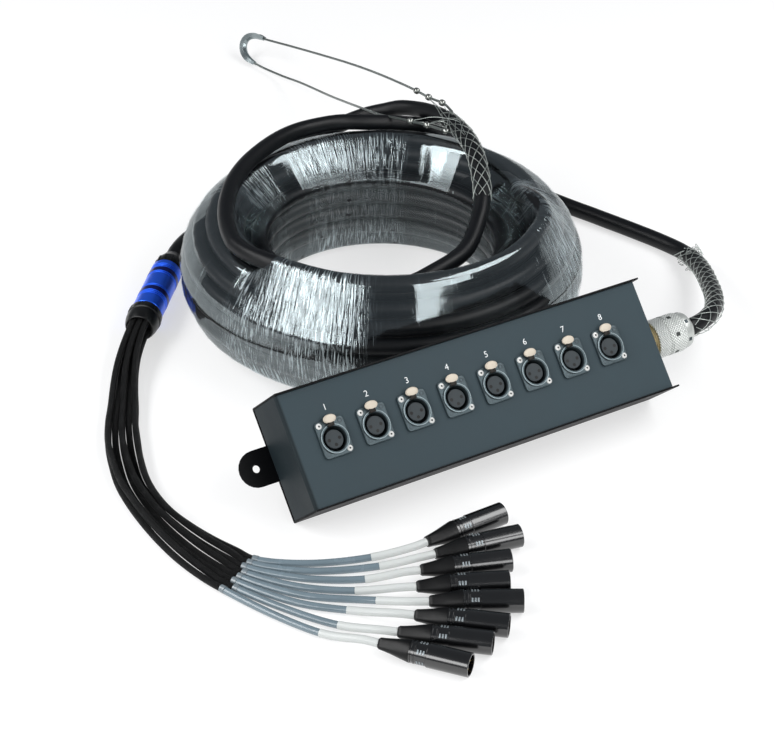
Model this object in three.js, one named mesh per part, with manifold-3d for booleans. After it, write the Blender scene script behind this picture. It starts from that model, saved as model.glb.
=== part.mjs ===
// Stage box snake: an eight-way stage box, its wound multicore cable and a fan of eight plugs.
// Millimetres, +Z up. The origin is on the floor, under the middle of the box with its coupling.
// The box leans back on the coil: its lowest long edge is on the floor.
import * as THREE from 'three';
import { mergeVertices } from 'three/addons/utils/BufferGeometryUtils.js';
import Module from 'manifold-3d';

const wasm = await Module();
wasm.setup();

// Clearances and working values
const seatGap = 0.3;
const slideGap = 0.4;
const cutOverrun = 1;
const mergeTolerance = 0.0001;
const arcSteps = 3;
const holeSides = 16;
const shellSides = 12;

// Stage box: a folded base channel closed by a folded top panel
const boxLength = 350;
const boxWidth = 100;
const boxDepth = 56;
const sheetThickness = 1.5;
const bendRadius = 2;
const lipHeight = 2.7;
const wallOverrun = 4;
const returnLength = 18;
const leanDegrees = 46.5;

// Fixing ears, one at each end of the base
const earLength = 30;
const earWidth = 31;
const earOffset = 52;
const earHoleDiameter = 6.5;
const earHoleToTip = 15;

// Panel receptacles and their push tabs
const receptacleCount = 8;
const firstReceptacle = 36;
const receptacleEndMargin = 45.9;
const receptaclePitch = (boxLength - firstReceptacle - receptacleEndMargin) / (receptacleCount - 1);
const receptacleHeight = 50.8;
const flangeWidth = 26;
const flangeHeight = 31;
const flangeThickness = 2;
const flangeCorner = 3;
const flangeRise = 1.2;
const ringDiameter = 24.5;
const ringHeight = 1.3;
const ringChamfer = 0.4;
const shellDiameter = 23.6;
const shellDepth = 20;
const recessDiameter = 20.6;
const recessDepth = 14;
const insertDiameter = 15.6;
const insertDrop = 1;
const contactDiameter = 2.4;
const contactDepth = 9;
const contactCircle = 4.7;
const panelHoleDiameter = 24.4;
const tabCapWidth = 12;
const tabCapHeight = 8;
const tabCapThickness = 1.8;
const tabCapOffset = 16;
const tabLift = 2;
const tabStemWidth = 6.4;
const tabStemThickness = 1;
const tabStemInner = 10.4;
const tabStemDepth = 8;
const tabSlotOuter = 12.9;

// Screwed coupling at the cable end of the box
const couplingAcross = 47;
const couplingHeight = 28;
const socketBodyDiameter = 28;
const socketBodyDepth = 14;
const socketFlangeDiameter = 36;
const socketFlangeThickness = 2.5;
const socketBarrelDiameter = 31.6;
const socketBarrelLength = 30;
const ringStart = 21.7;
const ringEnd = 39;
const couplingRingDiameter = 35.2;
const ringLip = 1.6;
const ringSlotCount = 6;
const ringSlotLength = 4;
const ringSlotWidth = 3.2;
const clampShoulderDiameter = 30;
const clampNeckDiameter = 25;
const clampBodyDiameter = 32;
const clampTaperStart = 45;
const clampNoseDiameter = 20.6;
const couplingReach = 50;

// Wiring inside the box
const trunkDiameter = 10;
const trunkClearance = 0.6;
const dropDiameter = 5;
const trunkSides = 6;

// Multicore cable and its wound coil
const cableDiameter = 15.5;
const cableSides = 8;
const coilCentreX = 43.3;
const coilCentreY = 237;
const coilOuterRadius = 185;
const coilInnerRadius = 104;
const coilHeight = 113;
const coilTopOuterBend = 60;
const coilBottomOuterBend = 48;
const coilTopInnerBend = 20;
const coilBottomInnerBend = 22;
const turnPitch = 16.3;
const coilTurns = 15.21;
const coilStartDegrees = 208;
const loopSteps = 24;
const loopSides = 6;
const leadInDegrees = 72;
const leadInReach = 20;
const leadOutDegrees = 60;
const leadInClearance = 1;
const leadOutClearance = 9;
const coilFlatShare = 0.1;
const coreSides = 32;
const marchStep = 0.05;

// Splitter between the cable and the tails
const splitterX = -97.8;
const splitterY = 390;
const splitterHeading = -130;
const splitterAxisHeight = 16;
const cableNutLength = 24;
const cableNutFaceDiameter = 21;
const cableNutDiameter = 27;
const sleeveLength = 76;
const sleeveDiameter = 29;
const sleeveGroove = 0.8;
const tailNutLength = 24;
const tailNutDiameter = 32;
const tailNutFaceDiameter = 28;
const tailNutBore = 24;
const tailNutBoreDepth = 5;
const splitterSides = 16;
const couplingSides = 18;

// Tails, from the splitter to the plugs
const tailCount = 8;
const tailDiameter = 5.6;
const tailSides = 8;
const tailPitch = 6.2;
const tailFloor = 3.3;
const tailRise = 0.7;

// Plugs
const plugLength = 73;
const plugDiameter = 19;
const plugBootLength = 24;
const plugBootDiameter = 14;
const plugBootEndDiameter = 10.5;
const plugCollarDiameter = 18;
const plugCollarLength = 11;
const plugGroovePlace = 19;
const plugGrooveWidth = 1.6;
const plugGrooveDepth = 0.8;
const plugMouthDiameter = 15.8;
const plugMouthDepth = 15;
const plugPinDiameter = 2.4;
const plugPinLength = 12;
const plugSides = 12;
const bootSides = 8;
const pinSides = 5;
const pinRoot = 1;

// Wire-mesh grips, and the wire rope loop of the pulling grip
const gripWall = 0.8;
const gripSides = 10;
const ropeDiameter = 2.4;
const ropeSides = 8;
const thimbleWidth = 5;
const thimbleEye = 15;
const thimbleWall = 1.2;
const thimbleSeat = 1.5;

// Angles
const fullTurn = Math.PI * 2;
const rightAngle = Math.PI / 2;
const radians = THREE.MathUtils.degToRad;

// Sizes worked out from the ones above
const cableRadius = cableDiameter / 2;
const tailRadius = tailDiameter / 2;
const panelTop = boxDepth - lipHeight;
const flangeBottom = panelTop + seatGap;
const lean = radians(leanDegrees);
const boxDrop = bendRadius * (Math.sin(lean) + Math.cos(lean) - 1);
const boxBack = (boxWidth - bendRadius) * Math.cos(lean) + bendRadius * (1 - Math.sin(lean));
const boxFront = -boxDepth * Math.sin(lean);
const boxMiddleX = (boxLength + couplingReach - earLength) / 2;
const boxMiddleY = (boxBack + boxFront) / 2;

// Materials
function finish(color, roughness, metalness) {
  return new THREE.MeshStandardMaterial({ color, roughness, metalness });
}

const blackPowderCoat = finish(0x1b1e22, 0.5, 0.1);
const slatePowderCoat = finish(0x4a545b, 0.55, 0.1);
const shellPlating = finish(0x3d4348, 0.35, 0.7);
const tabPlating = finish(0xe2ded6, 0.3, 0.8);
const goldPlating = finish(0xb8a16a, 0.3, 0.9);
const nickelPlating = finish(0xd4d6d2, 0.32, 0.9);
const cableJacket = finish(0x15161a, 0.55, 0);
const blackPlastic = finish(0x17181a, 0.5, 0);
const blueAnodising = finish(0x1c3fd8, 0.28, 0.7);
const braidSleeve = finish(0x1a1b1d, 0.8, 0);
const blackMetal = finish(0x1d1f22, 0.35, 0.6);
const steelWire = finish(0x9a9c98, 0.35, 0.9);
const hookupWire = finish(0x7a2a2a, 0.6, 0);

const model = new THREE.Group();
model.name = 'stage_box_snake';

function place(parent, name, geometry, material) {
  const mesh = new THREE.Mesh(geometry, material);
  mesh.name = name;
  parent.add(mesh);
  return mesh;
}

// Closed solids and their joins and cuts
function solid(geometry) {
  const bare = geometry.clone();
  bare.deleteAttribute('normal');
  bare.deleteAttribute('uv');
  const merged = mergeVertices(bare, mergeTolerance);
  return new wasm.Manifold(new wasm.Mesh({
    numProp: 3,
    vertProperties: merged.attributes.position.array,
    triVerts: new Uint32Array(merged.index.array),
  }));
}

function geometryOf(body) {
  const mesh = body.getMesh();
  const geometry = new THREE.BufferGeometry();
  geometry.setAttribute('position', new THREE.BufferAttribute(mesh.vertProperties, 3));
  geometry.setIndex(new THREE.BufferAttribute(mesh.triVerts, 1));
  geometry.computeVertexNormals();
  return geometry;
}

// Basic shapes
function block(xLow, xHigh, yLow, yHigh, zLow, zHigh) {
  return new THREE.BoxGeometry(xHigh - xLow, yHigh - yLow, zHigh - zLow)
    .translate((xLow + xHigh) / 2, (yLow + yHigh) / 2, (zLow + zHigh) / 2);
}

function upright(radius, x, y, zLow, zHigh, sides) {
  return new THREE.CylinderGeometry(radius, radius, zHigh - zLow, sides)
    .rotateX(rightAngle)
    .translate(x, y, (zLow + zHigh) / 2);
}

function turned(profile, sides) {
  const points = profile.map(([radius, along]) => new THREE.Vector2(radius, along));
  return new THREE.LatheGeometry(points, sides).rotateX(rightAngle);
}

function arc(x, y, radius, fromDegrees, toDegrees, steps = arcSteps) {
  const points = [];
  for (let step = 0; step <= steps; step += 1) {
    const angle = radians(THREE.MathUtils.lerp(fromDegrees, toDegrees, step / steps));
    points.push(new THREE.Vector2(x + radius * Math.cos(angle), y + radius * Math.sin(angle)));
  }
  return points;
}

function corner(x, y) {
  return new THREE.Vector2(x, y);
}

function plate(outline, low, high) {
  const options = { depth: high - low, bevelEnabled: false, steps: 1 };
  return new THREE.ExtrudeGeometry(new THREE.Shape(outline), options).translate(0, 0, low);
}

function swapAxes(geometry, xTo, yTo, zTo) {
  return geometry.applyMatrix4(new THREE.Matrix4().makeBasis(xTo, yTo, zTo));
}

const alongX = new THREE.Vector3(1, 0, 0);
const alongY = new THREE.Vector3(0, 1, 0);
const alongZ = new THREE.Vector3(0, 0, 1);

// A smooth line through chosen points. Its even steps fall on the points, not on equal lengths.
class Route extends THREE.CatmullRomCurve3 {
  constructor(points, stationAt) {
    super(points);
    this.stationAt = stationAt;
  }

  getUtoTmapping(share) {
    return this.stationAt(share) / (this.points.length - 1);
  }
}

function ringOutline(radius, sides) {
  const points = [];
  for (let side = 0; side < sides; side += 1) {
    const angle = fullTurn * side / sides;
    points.push(new THREE.Vector2(radius * Math.cos(angle), radius * Math.sin(angle)));
  }
  return points;
}

function cord(route, radius, sides, steps) {
  const options = { extrudePath: route, steps, bevelEnabled: false };
  return new THREE.ExtrudeGeometry(new THREE.Shape(ringOutline(radius, sides)), options);
}

function sleeveAround(route, innerRadius, outerRadius, sides, steps) {
  const shape = new THREE.Shape(ringOutline(outerRadius, sides));
  shape.holes.push(new THREE.Path(ringOutline(innerRadius, sides).reverse()));
  return new THREE.ExtrudeGeometry(shape, { extrudePath: route, steps, bevelEnabled: false });
}

function outward(geometry) {
  const body = solid(geometry);
  return geometryOf(body);
}

function points3(list) {
  return list.map(([x, y, z]) => new THREE.Vector3(x, y, z));
}

// Stage box

function makeBaseChannel() {
  const inner = bendRadius - sheetThickness;
  const far = boxWidth - sheetThickness;
  const outline = [
    ...arc(bendRadius, bendRadius, bendRadius, 180, 270, arcSteps + 1),
    ...arc(boxWidth - bendRadius, bendRadius, bendRadius, 270, 360, arcSteps + 1),
    corner(boxWidth, boxDepth),
    corner(far, boxDepth),
    ...arc(far - inner, sheetThickness + inner, inner, 360, 270),
    ...arc(sheetThickness + inner, sheetThickness + inner, inner, 270, 180),
    corner(sheetThickness, boxDepth),
    corner(0, boxDepth),
  ];
  const channel = swapAxes(plate(outline, 0, boxLength + wallOverrun), alongY, alongZ, alongX);
  let body = solid(channel).subtract(solid(block(
    boxLength, boxLength + wallOverrun + cutOverrun,
    bendRadius, boxWidth - bendRadius,
    -cutOverrun, bendRadius + cutOverrun,
  )));
  for (const end of [0, 1]) {
    const sign = end ? 1 : -1;
    const root = end ? boxLength : 0;
    const half = earWidth / 2;
    const tipCentre = root + sign * (earLength - half);
    const turn = end ? [270, 450] : [270, 90];
    const ear = plate([
      corner(root - sign * returnLength, earOffset - half),
      ...arc(tipCentre, earOffset, half, turn[0], turn[1], arcSteps * 4),
      corner(root - sign * returnLength, earOffset + half),
    ], 0, sheetThickness);
    const hole = upright(
      earHoleDiameter / 2, root + sign * (earLength - earHoleToTip), earOffset,
      -cutOverrun, sheetThickness + cutOverrun, holeSides,
    );
    body = body.add(solid(ear)).subtract(solid(hole));
  }
  return geometryOf(body);
}

function receptacleX(index) {
  return firstReceptacle + receptaclePitch * index;
}

function makeTopPanel() {
  const low = sheetThickness + seatGap;
  const outline = [
    corner(returnLength, low),
    ...arc(bendRadius, low + bendRadius, bendRadius, 270, 180),
    ...arc(bendRadius, panelTop - bendRadius, bendRadius, 180, 90),
    ...arc(boxLength - bendRadius, panelTop - bendRadius, bendRadius, 90, 0),
    ...arc(boxLength - bendRadius, low + bendRadius, bendRadius, 360, 270),
    corner(boxLength - returnLength, low),
    corner(boxLength - returnLength, low + sheetThickness),
    corner(boxLength - sheetThickness, low + sheetThickness),
    corner(boxLength - sheetThickness, panelTop - sheetThickness),
    corner(sheetThickness, panelTop - sheetThickness),
    corner(sheetThickness, low + sheetThickness),
    corner(returnLength, low + sheetThickness),
  ];
  const nearWall = sheetThickness + seatGap;
  const folded = swapAxes(
    plate(outline, nearWall - boxWidth, -nearWall),
    alongX, alongZ, alongY.clone().negate(),
  );
  let body = solid(folded);
  for (let index = 0; index < receptacleCount; index += 1) {
    body = body.subtract(solid(upright(
      panelHoleDiameter / 2, receptacleX(index), receptacleHeight,
      panelTop - sheetThickness - cutOverrun, panelTop + cutOverrun, holeSides,
    )));
  }
  const socketHole = upright(
    socketBodyDiameter / 2 + slideGap, 0, 0,
    boxLength - sheetThickness - cutOverrun, boxLength + cutOverrun, holeSides,
  );
  swapAxes(socketHole, alongY, alongZ, alongX).translate(0, couplingAcross, couplingHeight);
  return geometryOf(body.subtract(solid(socketHole)));
}

// Receptacles: z is the panel's normal and zero is the flange's back face

function makeReceptacleShell() {
  const flangeTop = flangeThickness;
  const ringTop = flangeTop + ringHeight;
  const ring = ringDiameter / 2;
  const recess = recessDiameter / 2;
  const insert = insertDiameter / 2;
  const floor = flangeTop - recessDepth;
  const insertTop = flangeTop - insertDrop;
  const halfWidth = flangeWidth / 2 - flangeCorner;
  const halfHeight = flangeHeight / 2 - flangeCorner;
  const flange = plate([
    ...arc(halfWidth, flangeRise + halfHeight, flangeCorner, 0, 90),
    ...arc(-halfWidth, flangeRise + halfHeight, flangeCorner, 90, 180),
    ...arc(-halfWidth, flangeRise - halfHeight, flangeCorner, 180, 270),
    ...arc(halfWidth, flangeRise - halfHeight, flangeCorner, 270, 360),
  ], 0, flangeTop);
  const barrel = turned([
    [0, -shellDepth],
    [shellDiameter / 2, -shellDepth],
    [shellDiameter / 2, flangeTop / 2],
    [ring, flangeTop / 2],
    [ring, ringTop],
    [recess, ringTop],
    [recess, floor],
    [insert, floor],
    [insert, insertTop],
    [0, insertTop],
  ], shellSides);
  const middle = solid(upright(recess + ringChamfer, 0, 0, -cutOverrun, flangeTop + cutOverrun, shellSides));
  let body = solid(flange).subtract(middle).add(solid(barrel));
  for (const quarter of [0, 2, 3]) {
    const angle = rightAngle * quarter;
    body = body.subtract(solid(upright(
      contactDiameter / 2, contactCircle * Math.cos(angle), contactCircle * Math.sin(angle),
      insertTop - contactDepth, insertTop + cutOverrun, pinSides,
    )));
  }
  const slotHalf = tabStemWidth / 2 + slideGap;
  const slot = block(
    -slotHalf, slotHalf, tabStemInner - slideGap, tabSlotOuter,
    -tabStemDepth - tabLift - cutOverrun, ringTop + cutOverrun,
  );
  return geometryOf(body.subtract(solid(slot)));
}

function makePushTab() {
  const low = flangeThickness + tabLift;
  const high = low + tabCapThickness;
  const halfStem = tabStemWidth / 2;
  const cap = ringOutline(1, plugSides)
    .map(({ x, y }) => corner(x * tabCapWidth / 2, tabCapOffset + y * tabCapHeight / 2));
  const neck = block(-halfStem, halfStem, tabStemInner, tabCapOffset, low, high);
  const stem = block(
    -halfStem, halfStem, tabStemInner, tabStemInner + tabStemThickness, -tabStemDepth, high,
  );
  return geometryOf(solid(plate(cap, low, high)).add(solid(neck)).add(solid(stem)));
}

// Coupling: z runs out of the box and zero is the end plate's outer face

function makeChassisSocket() {
  const body = socketBodyDiameter / 2;
  const flange = socketFlangeDiameter / 2;
  const barrel = socketBarrelDiameter / 2;
  return geometryOf(solid(turned([
    [0, -sheetThickness - socketBodyDepth],
    [body, -sheetThickness - socketBodyDepth],
    [body, seatGap],
    [flange, seatGap],
    [flange, seatGap + socketFlangeThickness],
    [barrel, seatGap + socketFlangeThickness],
    [barrel, socketBarrelLength],
    [0, socketBarrelLength],
  ], couplingSides)));
}

function makeCouplingRing() {
  const outer = couplingRingDiameter / 2;
  const inner = socketBarrelDiameter / 2 + slideGap;
  const lip = clampNeckDiameter / 2 + slideGap;
  const slotMiddle = (ringStart + ringEnd) / 2 - ringLip;
  let body = solid(turned([
    [inner, ringStart],
    [outer - ringChamfer, ringStart],
    [outer, ringStart + ringChamfer],
    [outer, ringEnd - ringChamfer],
    [outer - ringChamfer, ringEnd],
    [lip, ringEnd],
    [lip, ringEnd - ringLip],
    [inner, ringEnd - ringLip],
    [inner, ringStart],
  ], couplingSides));
  for (let index = 0; index < ringSlotCount; index += 1) {
    const slot = block(
      inner - cutOverrun / 2, outer + cutOverrun, -ringSlotWidth / 2, ringSlotWidth / 2,
      slotMiddle - ringSlotLength / 2, slotMiddle + ringSlotLength / 2,
    ).rotateZ(fullTurn * index / ringSlotCount);
    body = body.subtract(solid(slot));
  }
  return geometryOf(body);
}

function makeCableClamp() {
  const start = socketBarrelLength + seatGap;
  const shoulderEnd = ringEnd - ringLip - seatGap;
  return geometryOf(solid(turned([
    [0, start],
    [clampShoulderDiameter / 2, start],
    [clampShoulderDiameter / 2, shoulderEnd],
    [clampNeckDiameter / 2, shoulderEnd],
    [clampNeckDiameter / 2, ringEnd + seatGap],
    [clampBodyDiameter / 2, ringEnd + seatGap],
    [clampBodyDiameter / 2, clampTaperStart],
    [clampNoseDiameter / 2, couplingReach],
    [0, couplingReach],
  ], couplingSides)));
}

function makeWiringHarness() {
  const shellRear = flangeBottom - shellDepth;
  const trunkHeight = shellRear - trunkDiameter / 2 - trunkClearance;
  const start = receptacleX(0) - dropDiameter;
  const end = boxLength - sheetThickness - socketBodyDepth - seatGap;
  const trunk = swapAxes(
    upright(trunkDiameter / 2, 0, 0, start, end, trunkSides),
    alongY, alongZ, alongX,
  ).translate(0, couplingAcross, trunkHeight);
  let body = solid(trunk);
  const top = shellRear - seatGap;
  for (let index = 0; index < receptacleCount; index += 1) {
    body = body.add(solid(upright(
      dropDiameter / 2, receptacleX(index), (couplingAcross + receptacleHeight) / 2,
      trunkHeight, top, trunkSides,
    )));
  }
  return geometryOf(body);
}

function makeBox() {
  const box = new THREE.Group();
  box.rotation.x = lean;
  box.position.set(-boxMiddleX, -boxMiddleY, -boxDrop);
  place(box, 'base_channel', makeBaseChannel(), blackPowderCoat);
  place(box, 'top_panel', makeTopPanel(), slatePowderCoat);
  place(box, 'wiring_harness', makeWiringHarness(), hookupWire);
  for (let index = 0; index < receptacleCount; index += 1) {
    const number = index + 1;
    const spot = [receptacleX(index), receptacleHeight, flangeBottom];
    place(box, `receptacle_${number}_shell`, makeReceptacleShell(), shellPlating)
      .position.set(...spot);
    place(box, `receptacle_${number}_push_tab`, makePushTab(), tabPlating)
      .position.set(...spot);
  }
  const coupling = new THREE.Group();
  coupling.position.set(boxLength, couplingAcross, couplingHeight);
  coupling.rotation.y = rightAngle;
  place(coupling, 'chassis_socket', makeChassisSocket(), goldPlating);
  place(coupling, 'coupling_ring', makeCouplingRing(), nickelPlating);
  place(coupling, 'cable_clamp', makeCableClamp(), nickelPlating);
  box.add(coupling);
  return box;
}

// Wound coil. The turns lie side by side round a plain core, each a pitch on from the last:
// from the inner ridge over the top, down the outer side, back underneath and up the inner wall.

function coilSectionPath(inset) {
  const low = cableRadius * (1 - 2 * coilFlatShare) - cableRadius + inset;
  const high = coilHeight - inset;
  const inner = coilInnerRadius + inset;
  const outer = coilOuterRadius - inset;
  const topOuter = coilTopOuterBend - inset;
  const bottomOuter = coilBottomOuterBend - inset;
  const bottomInner = coilBottomInnerBend - inset;
  const topInner = coilTopInnerBend - inset;
  const path = new THREE.Path();
  path.moveTo(inner + topInner, high);
  path.lineTo(outer - topOuter, high);
  path.absarc(outer - topOuter, high - topOuter, topOuter, rightAngle, 0, true);
  path.lineTo(outer, low + bottomOuter);
  path.absarc(outer - bottomOuter, low + bottomOuter, bottomOuter, 0, -rightAngle, true);
  path.lineTo(inner + bottomInner, low);
  path.absarc(inner + bottomInner, low + bottomInner, bottomInner, -rightAngle, -2 * rightAngle, true);
  path.lineTo(inner, high - topInner);
  path.absarc(inner + topInner, high - topInner, topInner, 2 * rightAngle, rightAngle, true);
  return path;
}

const windingPath = coilSectionPath(cableRadius);
const windingLength = windingPath.getLength();

function sectionPoint(along) {
  const share = THREE.MathUtils.euclideanModulo(along / windingLength, 1);
  return windingPath.getPoint(share);
}

function sectionNormal(along) {
  const ahead = sectionPoint(along + marchStep);
  const behind = sectionPoint(along - marchStep);
  return new THREE.Vector2(behind.y - ahead.y, ahead.x - behind.x).normalize();
}

function nextTurn(along) {
  let next = along + turnPitch;
  while (sectionPoint(next).distanceTo(sectionPoint(along)) < turnPitch) {
    next += marchStep;
  }
  return next;
}

function turnPlaces() {
  const places = [0];
  while (places.length <= coilTurns + 1) {
    places.push(nextTurn(places[places.length - 1]));
  }
  return places;
}

const turnStarts = turnPlaces();

function layerPlace(turn) {
  const whole = Math.floor(turn);
  return THREE.MathUtils.lerp(turnStarts[whole], turnStarts[whole + 1], turn - whole);
}

// The lead to the box rolls off the neighbouring turn: sideways over it and out from the layer
function leadInShift(share) {
  const roll = rightAngle * THREE.MathUtils.smoothstep(2 * share, 0, 1);
  const beyond = THREE.MathUtils.smoothstep(2 * share - 1, 0, 1);
  return {
    sideways: turnPitch * (1 - Math.cos(roll)) + (leadInReach - turnPitch) * beyond,
    outwards: turnPitch * Math.sin(roll) + leadInClearance * share,
  };
}

function coilPoint(turn) {
  const leadIn = Math.max(0, 1 - turn * 360 / leadInDegrees);
  const leadOut = Math.max(0, 1 - (coilTurns - turn) * 360 / leadOutDegrees);
  const into = leadInShift(leadIn);
  const out = (turnPitch + leadOutClearance) * THREE.MathUtils.smoothstep(leadOut, 0, 1);
  const along = layerPlace(turn) + into.sideways;
  const spot = sectionPoint(along);
  const lift = sectionNormal(along).multiplyScalar(into.outwards + out);
  const angle = radians(coilStartDegrees) + fullTurn * turn;
  const radius = spot.x + lift.x;
  return new THREE.Vector3(
    coilCentreX + radius * Math.cos(angle),
    coilCentreY + radius * Math.sin(angle),
    spot.y + lift.y,
  );
}

// Share of a turn over which the leads' directions are measured
const wayStep = 0.002;

function coilCentreline() {
  const points = [];
  const steps = Math.round(coilTurns * loopSteps);
  for (let step = 0; step <= steps; step += 1) {
    points.push(coilPoint(coilTurns * step / steps));
  }
  const count = points.length;
  const startWay = points[0].clone().sub(coilPoint(wayStep)).setLength(cableDiameter);
  const endWay = points[count - 1].clone().sub(coilPoint(coilTurns - wayStep)).setLength(cableDiameter);
  points.unshift(points[0].clone().add(startWay));
  points.push(points[count].clone().add(endWay));
  return points;
}

function leastGap(points, diameter) {
  let least = Infinity;
  const skip = loopSteps / 2;
  const line = new THREE.Line3();
  const near = new THREE.Vector3();
  for (let from = 0; from < points.length; from += 1) {
    for (let other = from + skip; other + 1 < points.length; other += 1) {
      line.set(points[other], points[other + 1]);
      line.closestPointToPoint(points[from], true, near);
      least = Math.min(least, near.distanceTo(points[from]) - diameter);
    }
  }
  return least;
}

function makeCoil(points) {
  const positions = [];
  const faces = [];
  const count = points.length;
  for (let index = 0; index < count; index += 1) {
    const before = points[Math.max(0, index - 1)];
    const after = points[Math.min(count - 1, index + 1)];
    const way = after.clone().sub(before).normalize();
    const level = new THREE.Vector3().crossVectors(way, alongZ).normalize();
    const top = new THREE.Vector3().crossVectors(level, way);
    for (let side = 0; side < loopSides; side += 1) {
      const angle = fullTurn * side / loopSides;
      const spot = points[index].clone()
        .addScaledVector(level, cableRadius * Math.cos(angle))
        .addScaledVector(top, cableRadius * Math.sin(angle));
      positions.push(spot.x, spot.y, Math.max(0, spot.z));
    }
  }
  for (let index = 0; index + 1 < count; index += 1) {
    for (let side = 0; side < loopSides; side += 1) {
      const here = index * loopSides + side;
      const beside = index * loopSides + (side + 1) % loopSides;
      faces.push(here, here + loopSides, beside);
      faces.push(beside, here + loopSides, beside + loopSides);
    }
  }
  const last = (count - 1) * loopSides;
  for (let side = 1; side + 1 < loopSides; side += 1) {
    faces.push(0, side, side + 1);
    faces.push(last, last + side + 1, last + side);
  }
  const geometry = new THREE.BufferGeometry();
  geometry.setAttribute('position', new THREE.Float32BufferAttribute(positions, 3));
  geometry.setIndex(faces);
  geometry.computeVertexNormals();
  return geometry;
}

function makeCoilCore() {
  const chordDrop = coilOuterRadius * (1 - Math.cos(Math.PI / loopSteps));
  const inset = cableDiameter + seatGap + chordDrop;
  const low = seatGap + cableDiameter * (1 - coilFlatShare) + chordDrop;
  const inner = coilInnerRadius + inset;
  const outer = coilOuterRadius - inset;
  const high = coilHeight - inset;
  const topOuter = coilTopOuterBend - inset;
  const bottomOuter = coilBottomOuterBend - inset;
  const chamfer = coilTopInnerBend / 4;
  const profile = [
    ...arc(outer - bottomOuter, low + bottomOuter, bottomOuter, -90, 0),
    ...arc(outer - topOuter, high - topOuter, topOuter, 0, 90),
    corner(inner + chamfer, high),
    corner(inner, high - chamfer),
    corner(inner, low + chamfer),
    corner(inner + chamfer, low),
    corner(outer - bottomOuter, low),
  ];
  return turned(profile.map(({ x, y }) => [x, y]), coreSides).translate(coilCentreX, coilCentreY, 0);
}

// Free runs of the cable, chosen by hand along what they lie on

const couplingFace = new THREE.Vector3(boxLength + couplingReach + seatGap, couplingAcross, couplingHeight)
  .applyAxisAngle(alongX, lean)
  .add(new THREE.Vector3(-boxMiddleX, -boxMiddleY, -boxDrop));

const boxRunPoints = [
  [250.5, 9, 50.8],
  [268.2, 27.9, 45],
  [285.6, 52, 38],
  [302, 79, 30],
  [318.8, 109.3, 22],
  [330.9, 137, 15],
  [336.5, 163, 10],
  [333.5, 188, 8],
  [323.5, 219, 7.8],
  [311.1, 252.2, 7.8],
  [299.5, 282, 7.8],
  [286, 309, 10],
  [262, 330, 21],
  [230, 344, 46],
  [196, 355.5, 78],
  [167.5, 366, 99],
  [140, 374.5, 106],
  [113.5, 382.5, 110.5],
  [87.5, 391, 113.5],
  [60.8, 391.7, 116],
  [38.8, 389.2, 117.5],
  [15, 380.9, 119],
  [-13.6, 364.9, 120.5],
  [-37.8, 347.7, 121],
  [-61, 325.7, 121],
  [-80.9, 299.8, 120.3],
  [-96.4, 272.3, 118.6],
  [-106.9, 242.2, 117.2],
  [-110, 212.6, 116.9],
];

const splitterRunPoints = [
  [107.9, 178.4, 93.5],
  [115.8, 185.8, 98],
  [123.1, 193.6, 102.5],
  [129.7, 202, 107],
  [135.6, 211.3, 111.3],
  [140.8, 221.4, 115.5],
  [145.2, 231.4, 119],
  [152.8, 249.3, 123.3],
  [161.1, 274, 125],
  [168.1, 303.8, 124],
  [171.8, 332.4, 121],
  [171.8, 360, 115.8],
  [168.5, 382.7, 110.5],
  [160.4, 401.7, 105.5],
  [151.5, 414, 99.5],
  [137, 429, 91.5],
  [114, 441, 81],
  [75, 450, 65],
  [32, 452, 45],
  [-10, 445, 26],
  [-43.3, 433.5, 14],
  [-68, 420, 13.5],
];

function headingVector(degrees) {
  return new THREE.Vector3(Math.cos(radians(degrees)), Math.sin(radians(degrees)), 0);
}

const splitterWay = headingVector(splitterHeading);
const splitterFace = new THREE.Vector3(splitterX, splitterY, splitterAxisHeight);

function cableRuns() {
  const coilLine = coilCentreline();
  const count = coilLine.length;
  const startWay = coilLine[0].clone().sub(coilLine[1]).normalize();
  const endWay = coilLine[count - 1].clone().sub(coilLine[count - 2]).normalize();
  const coilStart = coilLine[0].clone().addScaledVector(startWay, seatGap);
  const coilEnd = coilLine[count - 1].clone().addScaledVector(endWay, seatGap);
  const arrival = coilStart.clone().addScaledVector(startWay, cableDiameter);
  const departure = coilEnd.clone().addScaledVector(endWay, cableRadius);
  const boxStraight = couplingFace.clone().addScaledVector(alongX, cableDiameter);
  const splitterStop = splitterFace.clone().addScaledVector(splitterWay, -seatGap);
  const splitterStraight = splitterStop.clone().addScaledVector(splitterWay, -cableDiameter);
  return {
    coilLine,
    toBox: [couplingFace, boxStraight, ...points3(boxRunPoints), arrival, coilStart],
    toSplitter: [coilEnd, departure, ...points3(splitterRunPoints), splitterStraight, splitterStop],
  };
}

function wholeRoute(points) {
  const steps = points.length - 1;
  return { route: new Route(points, (share) => share * steps), steps };
}

function partRoute(points, first, last) {
  return new Route(points, (share) => first + share * (last - first));
}

// Splitter: z runs from the cable to the tails and zero is the cable nut's face

function makeCableNut() {
  return turned([
    [0, 0],
    [cableNutFaceDiameter / 2, 0],
    [cableNutDiameter / 2, cableNutLength / 2],
    [cableNutDiameter / 2, cableNutLength],
    [0, cableNutLength],
  ], splitterSides);
}

function makeSplitterSleeve() {
  const start = cableNutLength + seatGap;
  const end = start + sleeveLength;
  const radius = sleeveDiameter / 2;
  const grooved = radius - sleeveGroove;
  const bandShares = [[0.2, 0.3], [0.62, 0.76]];
  const profile = [[0, start], [radius, start]];
  for (const [from, to] of bandShares) {
    profile.push([radius, start + sleeveLength * from], [grooved, start + sleeveLength * from]);
    profile.push([grooved, start + sleeveLength * to], [radius, start + sleeveLength * to]);
  }
  profile.push([radius, end], [0, end]);
  return turned(profile, splitterSides);
}

const tailNutStart = cableNutLength + sleeveLength + 2 * seatGap;
const tailNutEnd = tailNutStart + tailNutLength;

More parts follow.
